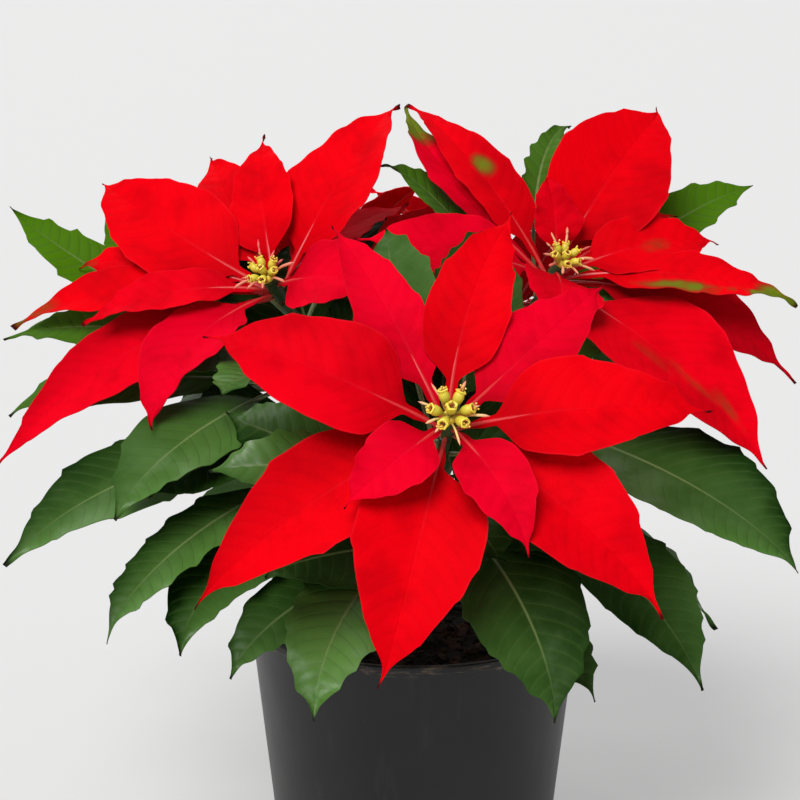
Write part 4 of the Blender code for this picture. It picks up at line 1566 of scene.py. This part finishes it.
def clear_look(blade, look):
    """Gives the look the first small change with which its blade cuts none laid before it."""
    wing, best = look.wing, None
    changes = [(share, roll, lift) for share in WING_SHARES for roll in ROLLS for lift in LIFTS]
    for share, roll, lift in changes:
        look.wing, look.roll, look.lift = wing * share, roll, lift
        bm, numbers = numbered_mesh()
        lay_blade(bm, numbers, blade, look)
        tree = BVHTree.FromBMesh(bm)
        bm.free()
        cuts = sum(len(tree.overlap(other)) for other in laid_trees)
        if best is None or cuts < best[0]:
            best = cuts, look.wing, roll, lift, tree
        if not cuts:
            break
    _, look.wing, look.roll, look.lift, tree = best
    laid_trees.append(tree)


# %% Make the bracts and the leafy stems
# For each kind of blade: how its nodes and its pieces are called, its finishes and its slot.
BLADE_PIECES = {
    "bract": ("bracts_", "red_bracts_", (red_bract, bract_stalk, green_stem), "bract_red"),
    "leaf": ("leafy_stem_", "leaves_", (green_leaf, leaf_stalk, green_stem), "leaf_green"),
}


def blade_piece(kind, short):
    """A bloom's bracts with their hub, or its leafy stem, as one piece."""
    nodes_name, pieces_name, finishes, slot = BLADE_PIECES[kind]
    node = nodes_name + short
    bm, numbers = numbered_mesh()
    chance = random.Random("looks of " + node)
    for k, blade in enumerate(blades[node]):
        look = look_of(kind, node, k, chance)
        clear_look(blade, look)
        lay_blade(bm, numbers, blade, look)
        lay_stalk(bm, numbers, blade, look)
    if kind == "bract":
        lay_hub(bm, numbers, short)
    else:
        lay_stem(bm, numbers, stems[short], blades[node])
    as_piece(bm, pieces_name + short, finishes, slot, node)


for short in BLOOMS:
    blade_piece("bract", short)
    blade_piece("leaf", short)

# %% [markdown]
# ## The flower cups
#
# Each cup is a small urn on a short stalk. On its outer side it carries a yellow nectar gland,
# shaped like a pair of lips, and from its mouth stand a few red threads with yellow heads.
# Between the cups and the bracts grow slender young bracts, cream with pink ends. All of these
# are rolled tubes, from short lists of heights and radii in millimetres.

# %% Profiles of the small parts
CUP = [
    (-9.0, 0.0), (-8.6, 0.75), (-5.0, 0.8), (-3.6, 0.95), (-2.8, 1.6), (-1.4, 2.3),
    (0.2, 2.55), (1.6, 2.3), (2.3, 2.0), (2.8, 2.35), (3.3, 2.5), (3.6, 2.1),
    (3.4, 1.5), (2.8, 1.1), (1.9, 0.9), (1.2, 0.0),
]
GLAND = [
    (-1.2, 0.0), (-1.1, 0.5), (-0.6, 1.0), (0.1, 1.25), (0.6, 1.15), (0.75, 0.9),
    (0.5, 0.6), (0.05, 0.35), (-0.1, 0.0),
]
THREAD_HEAD = [(-0.5, 0.0), (-0.35, 0.38), (0.0, 0.5), (0.35, 0.38), (0.5, 0.0)]
DOME = [(0.3, 0.0), (0.4, 3.5), (1.2, 3.6), (2.4, 3.1), (3.4, 2.2), (3.6, 0.0)]
LIP_HEIGHT = 2.5
LOBE_DEPTH = 0.02
TUBE_STEPS = 10


def lathe(
    bm, profile, middle, axis, sides, numbers, material=0, lobes=0, flat=1.0, hue=0.0, size=1.0
):
    """Rolls a profile of (height, radius) round the axis. lobes notch it, flat squeezes it."""
    side = axis.orthogonal().normalized()
    other = axis.cross(side)

    def place(s, turn):
        height, radius = profile[round(s * (len(profile) - 1))]
        notch = LOBE_DEPTH * lobes * math.cos(lobes * turn) * (height > LIP_HEIGHT)
        grown = radius * size * MM * (1 + notch)
        return middle + axis * height * size * MM + ring(side, other * flat, grown, turn)

    steps = len(profile) - 1
    roll(bm, steps, sides, place, numbers, lambda s: {"share": s, "hue": hue}, material)


def bent_tube(bm, points, radii, sides, numbers, material, hue=0.0):
    """A tapered tube along a smooth line that four points steer."""

    def place(s, turn):
        along = bezier_slope(*points, s).normalized()
        side = along.orthogonal().normalized()
        radius = 0.0 if s in (0, 1) else mix(*radii, s)
        return bezier(*points, s) + ring(side, along.cross(side), radius, turn)

    roll(bm, TUBE_STEPS, sides, place, numbers, lambda s: {"share": s, "hue": hue}, material)


# %% [markdown]
# A cup is yellow-green below and yellow at its lip, and painted dark inside its mouth as painted
# shade. The gland is a deep glossy yellow, wet with nectar. The threads are red with yellow heads.


# %% Flower finishes
def plain_finish(name, stops, roughness, depth, hue=None, coat=0.0):
    """A finish whose colour follows the number share, with a fine grain."""
    finish = Finish(name)
    settings = {"stops": stops}
    colour = finish.node("ShaderNodeValToRGB", settings, {"Fac": finish.read("share")})["Color"]
    if hue:
        colour = finish.blend(finish.read("hue"), colour, hue)
    grain = finish.grains(finish.place(), 900, 3)
    colour = finish.blend(grain.ramp(0.3, 0.8) * 0.2, colour, stops[0][1])
    shader = finish.surface(
        Base_Color=colour,
        Roughness=roughness,
        Coat_Weight=coat,
        Coat_Roughness=0.15,
        Normal=finish.relief(grain, depth, 0.4),
    )
    return finish.done(shader)


# The last two stops, inside the cup's mouth, are painted shade.
CUP_STOPS = [
    (0.0, (0.50, 0.36, 0.08)),
    (0.35, (0.56, 0.50, 0.040)),
    (0.52, (0.72, 0.60, 0.045)),
    (0.62, (0.92, 0.78, 0.075)),
    (0.78, (0.96, 0.84, 0.110)),
    (0.86, (0.26, 0.14, 0.015)),
    (0.95, (0.050, 0.022, 0.006)),
]
cup_green = plain_finish("cup_green", CUP_STOPS, 0.42, 0.0002, (0.80, 0.66, 0.06))
GLAND_STOPS = [
    (0.0, (0.55, 0.42, 0.04)),
    (0.6, (0.88, 0.66, 0.045)),
    (0.8, (0.70, 0.50, 0.020)),
    (1.0, (0.24, 0.17, 0.010)),
]
gland_yellow = plain_finish("gland_yellow", GLAND_STOPS, 0.25, 0.0001, coat=0.6)
THREAD_STOPS = [
    (0.0, (0.62, 0.30, 0.10)),
    (0.4, (0.70, 0.10, 0.06)),
    (1.0, (0.62, 0.030, 0.035)),
]
thread_red = plain_finish("thread_red", THREAD_STOPS, 0.45, 0.0001)
ROD_STOPS = [
    (0.0, (0.72, 0.56, 0.10)),
    (0.5, (0.86, 0.70, 0.22)),
    (0.8, (0.90, 0.62, 0.28)),
    (1.0, (0.86, 0.30, 0.20)),
]
rod_cream = plain_finish("rod_cream", ROD_STOPS, 0.45, 0.0002, (0.75, 0.10, 0.12))


# %% One cup with its gland and threads
CUP_SIDES, GLAND_SIDES, DOME_SIDES = 15, 12, 16
CUP_LOBES = 5
THREADS = 3
THREAD_SIDES = 6
THREAD_RADII = (0.24 * MM, 0.17 * MM)

# How far a gland looks outward and up its cup, where it sits outward and up, and how flat it is.
GLAND_LOOKS = (0.75, 0.65)
GLAND_SEAT_MM = (2.2, 1.5)
GLAND_FLAT = 0.72

# A thread: where its foot is up the cup and off its middle, how far it reaches up and outward,
# and how far up it bends.
THREAD_FOOT_MM = (1.6, 0.5)
THREAD_REACH_MM, THREAD_SPREAD_MM = (2.2, 3.9), (0.6, 1.8)
THREAD_BEND = 0.6

# The size of each bloom's flowers, for the young ones are smaller, and how red its young
# bracts are.
FLOWERS = {
    "front": (1.0, 0.0),
    "left": (0.80, 0.75),
    "right": (0.76, 0.55),
    "back_left": (0.90, 0.3),
    "back_right": (0.90, 0.3),
}


def lay_cup(bm, numbers, belly, along, outward, size, chance):
    """One cup whose belly is there, with its gland on the outward side and its threads."""
    hue = chance.uniform(0, 0.45)
    lathe(bm, CUP, belly, along, CUP_SIDES, numbers, 0, lobes=CUP_LOBES, hue=hue, size=size)
    lean = (outward * GLAND_LOOKS[0] + along * GLAND_LOOKS[1]).normalized()
    seat = belly + (outward * GLAND_SEAT_MM[0] + along * GLAND_SEAT_MM[1]) * size * MM
    lathe(bm, GLAND, seat, lean, GLAND_SIDES, numbers, 1, flat=GLAND_FLAT, size=size)
    for k in range(THREADS):
        turn = 2 * math.pi * k / THREADS + chance.uniform(-0.5, 0.5)
        away = ring_direction(along, turn)
        start = belly + along * THREAD_FOOT_MM[0] * size * MM + away * THREAD_FOOT_MM[1] * MM
        reach = chance.uniform(*THREAD_REACH_MM) * size * MM
        end = start + along * reach + away * chance.uniform(*THREAD_SPREAD_MM) * MM
        bend = start + along * reach * THREAD_BEND
        bent_tube(bm, (start, bend, bend, end), THREAD_RADII, THREAD_SIDES, numbers, 2)
        lathe(bm, THREAD_HEAD, end, (end - bend).normalized(), THREAD_SIDES, numbers, 1)


# %% Slender young bracts between the cups and the large ones
YOUNG_BRACTS = 10
ROD_SIDES = 8

# A rod: where its foot is above the middle of the bloom and off its axis, how far it reaches
# out, what share of that it rises, where it bends outward and up, and its radius at both ends.
ROD_FOOT_MM = (0.6, 2.4)
ROD_REACH_MM = (9, 17)
ROD_RISE = (0.35, 0.65)
ROD_BEND = (0.45, 0.9)
ROD_RADIUS_MM = (0.45, 0.85)


def lay_young_bracts(bm, numbers, middle, axis, redness, chance):
    """A ring of curved rods that rise round the cups."""
    for k in range(YOUNG_BRACTS):
        turn = 2 * math.pi * (k + chance.uniform(0.2, 0.8)) / YOUNG_BRACTS
        away = ring_direction(axis, turn)
        reach = chance.uniform(*ROD_REACH_MM) * MM
        start = middle + axis * ROD_FOOT_MM[0] * MM + away * ROD_FOOT_MM[1] * MM
        lift = axis * reach * chance.uniform(*ROD_RISE)
        end = start + away * reach + lift
        bend = start + away * reach * ROD_BEND[0] + lift * ROD_BEND[1]
        radii = (ROD_RADIUS_MM[0] * MM, chance.uniform(*ROD_RADIUS_MM) * MM)
        hue = min(1.0, redness + chance.choice((0.0, 0.0, 0.4)))
        bent_tube(bm, (start, bend, bend, end), radii, ROD_SIDES, numbers, 3, hue)


# %% Make the flowers of each bloom: six cups in a ring and one in its middle
for short, (size, redness) in FLOWERS.items():
    axis, middle = bloom_place(short)
    node = "flowers_" + short
    chance, small = random.Random(node), random.Random("threads of " + node)
    bm, numbers = numbered_mesh()
    lathe(bm, DOME, middle, axis, DOME_SIDES, numbers)
    for k in range(CUPS):
        turn = 2 * math.pi * k / (CUPS - 1) + chance.uniform(-0.15, 0.15)
        out = ring_direction(axis, turn) if k < CUPS - 1 else Vector()
        rise = CUP_RISE + chance.uniform(-1, 1) * MM
        foot = middle + axis * DOME_HEIGHT / 2
        belly = middle + (out * CUP_RING + axis * rise) * size
        outward = out if out.length else ring_direction(axis, 0.6)
        lay_cup(bm, numbers, belly, (belly - foot).normalized(), outward, size, small)
    lay_young_bracts(bm, numbers, middle, axis, redness, small)
    finishes = (cup_green, gland_yellow, thread_red, rod_cream)
    as_piece(bm, "cups_" + short, finishes, "flower_yellow", node)

# %% [markdown]
# ## The woody stem
#
# The main stem is brown and slightly ridged, with corky rings where old leaves fell. Its top
# was pruned, which is why the plant branches, so it ends in a flat pale cut.

# %% Bark
BARK_DARK = (0.060, 0.042, 0.022)
BARK_PALE = (0.230, 0.175, 0.100)
BARK_GREEN = (0.110, 0.125, 0.050)
CUT_WOOD = (0.420, 0.330, 0.190)

bark_finish = Finish("bark")
where = bark_finish.place()
ridges = bark_finish.grains(bark_finish.stretched(where, (1.0, 1.0, 0.22)), 620, 5)
patches = bark_finish.grains(where, 160, 3)
wood = bark_finish.layers(
    BARK_DARK,
    (ridges.ramp(0.3, 0.75), BARK_PALE),
    (patches.ramp(0.5, 0.7) * 0.5, BARK_GREEN),
    (bark_finish.read("hue"), CUT_WOOD),
)
rough_bark = bark_finish.surface(
    Base_Color=wood,
    Roughness=ridges * 0.2 + 0.65,
    Normal=bark_finish.relief(ridges, 0.0008, 0.7),
)
bark = bark_finish.done(rough_bark)

# %% Turn the main stem
# Its heights and radii, and the heights of its rings, all in millimetres. From CUT_START on, a
# share of CUT_REACH closes its top.
MAIN_STEM = [(60, 6.5), (100, 6.5), (125, 6.2), (150, 5.8), (165, 5.4), (167.6, 4.6)]
RING_HEIGHTS = (121, 128, 139, 149, 161)
RING_SWELL = 0.35
RING_REACH = 0.9
CUT_START, CUT_REACH = 0.94, 0.06
PALE_FROM = 0.93
BARK_STEPS = 100
BARK_SIDES = 28
BARK_KNOTS = 0.05


def stem_radius(height):
    """The radius at that height, both in millimetres, with a corky ring at each old leaf."""
    radius = MAIN_STEM[-1][1]
    for (low, thick), (high, thin) in zip(MAIN_STEM, MAIN_STEM[1:]):
        if low <= height <= high:
            radius = mix(thick, thin, (height - low) / (high - low))
    swells = (math.exp(-(((height - ring) / RING_REACH) ** 2)) for ring in RING_HEIGHTS)
    return radius + sum(RING_SWELL * swell for swell in swells)


def main_stem_place(s, turn):
    """Up the stem to its cut, and then inwards over the cut."""
    height = mix(MAIN_STEM[0][0], MAIN_STEM[-1][0], min(1.0, s / CUT_START))
    shrink = max(0.0, 1 - max(0.0, s - CUT_START) / CUT_REACH)
    radius = 0.0 if s in (0, 1) else stem_radius(height) * shrink
    rough = noise.noise(Vector((math.cos(turn) * 2, math.sin(turn) * 2, height * 0.12)))
    radius *= 1 + BARK_KNOTS * rough * shrink
    return Vector((math.cos(turn) * radius, math.sin(turn) * radius, height)) * MM


def main_stem_values(s):
    """What each point keeps: its place up the stem, and whether it is on the pale cut."""
    return {"share": s, "hue": float(s > PALE_FROM)}


bm, numbers = numbered_mesh()
roll(bm, BARK_STEPS, BARK_SIDES, main_stem_place, numbers, main_stem_values)
as_piece(bm, "woody_stem", (bark,), "bark", "main_stem")

# %% [markdown]
# ## Potting mix
#
# The soil is one turned solid that fills the pot. Its top is lumpy, from two sizes of noise, and
# crumbs and chips of bark lie on it. Soil, crumbs and chips share one finish, in which a number
# on each piece turns it from dark peat to brown bark.

# %% The finish of the potting mix
PEAT = ((0.004, 0.003, 0.002), (0.016, 0.010, 0.006))
CHIP = ((0.030, 0.014, 0.008), (0.110, 0.048, 0.026))
PALE_BIT = (0.16, 0.10, 0.07)

soil_finish = Finish("potting_mix")
where = soil_finish.place()
lumps = soil_finish.grains(where, 330, 6, 0.7)
fibres = soil_finish.grains(where, 1200, 4, 0.7)
pale_bits = soil_finish.grains(where, 700, 2).ramp(0.70, 0.76)
damp = soil_finish.surface(
    Base_Color=soil_finish.layers(
        soil_finish.blend(lumps.ramp(0.35, 0.7), *PEAT),
        (soil_finish.read("hue"), soil_finish.blend(fibres.ramp(0.3, 0.7), *CHIP)),
        (pale_bits * 0.35, PALE_BIT),
    ),
    Roughness=lumps * 0.3 + 0.62,
    Specular_IOR_Level=0.3,
    Normal=soil_finish.relief(lumps * 0.7 + fibres * 0.3, 0.0012, 0.8),
)
potting_mix = soil_finish.done(damp)

# %% The lumpy top of the soil
POT_BASE_RADIUS = 67 * MM
POT_WALL = 2.0 * MM
POT_FLOOR = 2.4 * MM
RIM_BAND = 4 * MM
RIM_STEP = 1.0 * MM
SOIL_TOP = 112 * MM
SOIL_DOME = 3 * MM


def pot_radius(height):
    """The outer radius of the pot's wall, below its rim band."""
    return mix(POT_BASE_RADIUS, POT_RIM_RADIUS - RIM_STEP, height / POT_HEIGHT)


def pot_inner_radius(height):
    """The inner radius of the pot's wall."""
    return pot_radius(height) - POT_WALL


SOIL_EDGE = pot_inner_radius(SOIL_TOP) - SEAT_GAP
SOIL_LOW = POT_FLOOR + SEAT_GAP

# The shares of the soil's outline: its top, its wall and its base.
TOP_END, WALL_END = 0.86, 0.94
WALL_SHARE, BASE_SHARE = 0.08, 0.06

# Its lumps, large and small: their height in millimetres, and how close together they are. They
# fade out near the wall.
SOIL_LUMPS = ((1.6, 75), (0.9, 240))
LUMPS_FADE = 12
SOIL_STEPS = 100
SOIL_SIDES = 150


def soil_height(x, y):
    """The top of the soil there: a low dome with lumps, level where it meets the wall."""
    out = min(1.0, math.hypot(x, y) / SOIL_EDGE)
    spot = Vector((x, y, 0))
    lumps = sum(height * noise.noise(spot * close) for height, close in SOIL_LUMPS)
    fade = min(1.0, (1 - out) * LUMPS_FADE)
    return SOIL_TOP + SOIL_DOME * (1 - out * out) + lumps * MM * fade


def soil_place(s, turn):
    """From the middle of the top, out to the wall, down it, and back to the middle."""
    if s <= TOP_END:
        out = SOIL_EDGE * s / TOP_END
        x, y = out * math.cos(turn), out * math.sin(turn)
        return Vector((x, y, soil_height(x, y)))
    if s <= WALL_END:
        height = mix(SOIL_TOP, SOIL_LOW, (s - TOP_END) / WALL_SHARE)
        out = pot_inner_radius(height) - SEAT_GAP
    else:
        height = SOIL_LOW
        out = (pot_inner_radius(SOIL_LOW) - SEAT_GAP) * (1 - s) / BASE_SHARE
    return Vector((out * math.cos(turn), out * math.sin(turn), height))


bm, numbers = numbered_mesh()
roll(bm, SOIL_STEPS, SOIL_SIDES, soil_place, numbers, lambda s: {})
as_piece(bm, "potting_soil", (potting_mix,), "potting_mix", "soil", sharp=70)

# %% Crumbs and chips of bark on the soil
CRUMBS = 520
CHIPS = 150
CRUMB_SIZE_MM = (0.8, 2.3)
CHIP_LENGTH_MM, CHIP_WIDTH_MM, CHIP_THICK_MM = (3, 6.5), (1.2, 2.6), (0.4, 0.9)
CHIP_REST = 0.8 * MM
CRUMB_FLAT = 0.7
LUMPINESS = 0.22
TILT, SLANT = 0.6, 0.45
ABOVE_SOIL = 0.35

chance = random.Random("crumbs")
bm, numbers = numbered_mesh()
for k in range(CRUMBS + CHIPS):
    reach = math.sqrt(chance.random()) * (SOIL_EDGE - 4 * MM)
    turn = chance.uniform(0, 2 * math.pi)
    x, y = reach * math.cos(turn), reach * math.sin(turn)
    if k < CRUMBS:
        size = chance.uniform(*CRUMB_SIZE_MM) * MM
        shape = bmesh.ops.create_icosphere(bm, subdivisions=1, radius=1)["verts"]
        stretch = Matrix.Diagonal((size, size * chance.uniform(0.6, 1), size * CRUMB_FLAT, 1))
        tone = chance.choice((0.0, 0.0, 0.1, 0.5))
    else:
        shape = bmesh.ops.create_cube(bm, size=2)["verts"]
        ranges = (CHIP_LENGTH_MM, CHIP_WIDTH_MM, CHIP_THICK_MM)
        stretch = Matrix.Diagonal((*(chance.uniform(*sizes) * MM for sizes in ranges), 1))
        tone, size = chance.uniform(0.45, 1.0), CHIP_REST
    tilt = Matrix.Rotation(chance.uniform(-TILT, TILT), 4, "X")
    lean = Matrix.Rotation(chance.uniform(-SLANT, SLANT), 4, "Y")
    heading = Matrix.Rotation(chance.uniform(0, 2 * math.pi), 4, "Z")
    spot = Matrix.Translation((x, y, soil_height(x, y) + size * ABOVE_SOIL))
    for vert in shape:
        vert.co *= 1 + chance.uniform(-LUMPINESS, LUMPINESS)
        vert[numbers["hue"]] = tone
    bmesh.ops.transform(bm, matrix=spot @ heading @ (tilt @ lean) @ stretch, verts=shape)
as_piece(bm, "soil_crumbs", (potting_mix,), "potting_mix", sharp=30)

# %% [markdown]
# ## The pot
#
# The pot is one thin moulded shell of dark grey plastic, with a narrow band round its rim. The
# photograph ends just below the rim, so the rest is plain: a taper down to a flat base with
# drain holes. The wall is spun from its outline, its edges are bevelled, and the holes are cut.

# %% Pot plastic, with runs down its wall, and scuffs and dust on its band
PLASTIC_DARK = (0.004, 0.004, 0.004)
PLASTIC_GREY = (0.010, 0.010, 0.0104)
RUN_GREY = (0.10, 0.097, 0.093)
DUST = (0.28, 0.20, 0.13)
BAND_FROM = (117.5 * MM, 119.5 * MM)

pot_finish = Finish("pot_plastic")
where = pot_finish.place()
height = pot_finish.node("ShaderNodeSeparateXYZ", {}, {"Vector": where})["Z"]
film = pot_finish.grains(where, 18, 5)
runs = pot_finish.grains(pot_finish.stretched(where, (1, 1, 0.15)), 120, 4)
speck = pot_finish.grains(where, 1400, 2)
scuffs = pot_finish.grains(pot_finish.stretched(where, (1, 1, 6)), 95, 5, 0.7)
on_band = height.ramp(*BAND_FROM) * scuffs.ramp(0.52, 0.68)
plastic = pot_finish.surface(
    Base_Color=pot_finish.layers(
        PLASTIC_DARK,
        (film.ramp(0.3, 0.75), PLASTIC_GREY),
        (runs.ramp(0.55, 0.8) * 0.10, RUN_GREY),
        (on_band * 0.40 + speck.ramp(0.72, 0.80) * 0.06, DUST),
    ),
    Roughness=film * 0.2 + runs * 0.08 + 0.30,
    Specular_IOR_Level=0.34,
    Normal=pot_finish.relief(speck * 0.6 + scuffs * 0.4, 0.00012, 0.35),
)
pot_plastic = pot_finish.done(plastic)

# %% Spin the pot
POT_TURNS = 144
FOOT_ROUND = 1.6 * MM
band = POT_HEIGHT - RIM_BAND
OUTLINE = [
    (0, POT_FLOOR),
    (pot_inner_radius(POT_FLOOR), POT_FLOOR),
    (pot_inner_radius(POT_HEIGHT), POT_HEIGHT),
    (POT_RIM_RADIUS, POT_HEIGHT),
    (POT_RIM_RADIUS, band),
    (pot_radius(band), band),
    (pot_radius(FOOT_ROUND), FOOT_ROUND),
    (POT_BASE_RADIUS - FOOT_ROUND, 0),
    (0, 0),
]
bm = bmesh.new()
corners = [bm.verts.new((radius, 0, height)) for radius, height in OUTLINE]
lines = [bm.edges.new(pair) for pair in zip(corners, corners[1:])]
bmesh.ops.spin(
    bm,
    geom=corners + lines,
    cent=(0, 0, 0),
    axis=(0, 0, 1),
    dvec=(0, 0, 0),
    angle=2 * math.pi,
    steps=POT_TURNS,
    use_merge=True,
    use_duplicate=False,
)
bmesh.ops.remove_doubles(bm, verts=bm.verts, dist=1e-6)
bmesh.ops.recalc_face_normals(bm, faces=bm.faces)


SAME_SPOT = 0.05 * MM


def round_edges(bm, spots, offset, segments):
    """Bevels the level rings of edges that pass through the given (radius, height) spots."""
    found = []
    for edge in bm.edges:
        ends = [(vert.co.xy.length, vert.co.z) for vert in edge.verts]
        for radius, height in spots:
            if all(math.hypot(r - radius, z - height) < SAME_SPOT for r, z in ends):
                found.append(edge)
    bmesh.ops.bevel(
        bm,
        geom=found,
        offset=offset,
        affect="EDGES",
        segments=segments,
        profile=0.5,
        material=-1,
    )
    print(f"rounded {len(found)} edges by {offset / MM:.2f} mm")


# Which corners of the outline are rounded, by how many millimetres and in how many steps.
ROUNDINGS = (((3, 4), 0.75, 4), ((2, 5), 0.40, 3), ((1, 7), 0.90, 4))
for places, offset, segments in ROUNDINGS:
    round_edges(bm, [OUTLINE[k] for k in places], offset * MM, segments)
pot_shell = new_object(bm, "pot_shell")

# %% Cut the drain holes
DRAIN_HOLES = 6
DRAIN_RING_RADIUS = 40 * MM
DRAIN_HOLE_RADIUS = 5 * MM
DRAIN_HOLE_SIDES = 32

drill = bmesh.new()
for k in range(DRAIN_HOLES):
    turn = 2 * math.pi * k / DRAIN_HOLES
    spot = (DRAIN_RING_RADIUS * math.cos(turn), DRAIN_RING_RADIUS * math.sin(turn), 0)
    bmesh.ops.create_cone(
        drill,
        cap_ends=True,
        segments=DRAIN_HOLE_SIDES,
        radius1=DRAIN_HOLE_RADIUS,
        radius2=DRAIN_HOLE_RADIUS,
        depth=4 * POT_FLOOR,
        matrix=Matrix.Translation(spot),
    )
drills = new_object(drill, "drill")
holes = pot_shell.modifiers.new("drain holes", "BOOLEAN")
holes.operation = "DIFFERENCE"
holes.solver = "EXACT"
holes.object = drills
bpy.context.view_layer.update()
drilled = bpy.data.meshes.new_from_object(
    pot_shell.evaluated_get(bpy.context.evaluated_depsgraph_get())
)
bpy.data.objects.remove(drills)
bpy.data.objects.remove(pot_shell)
bm = bmesh.new()
bm.from_mesh(drilled)
as_piece(bm, "plastic_pot", (pot_plastic,), "pot_plastic", "pot", sharp=38)

# %% [markdown]
# ## The size of the dressed plant
#
# The box round the dressed plant is measured.

# %% Measure the dressed plant
low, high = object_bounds()
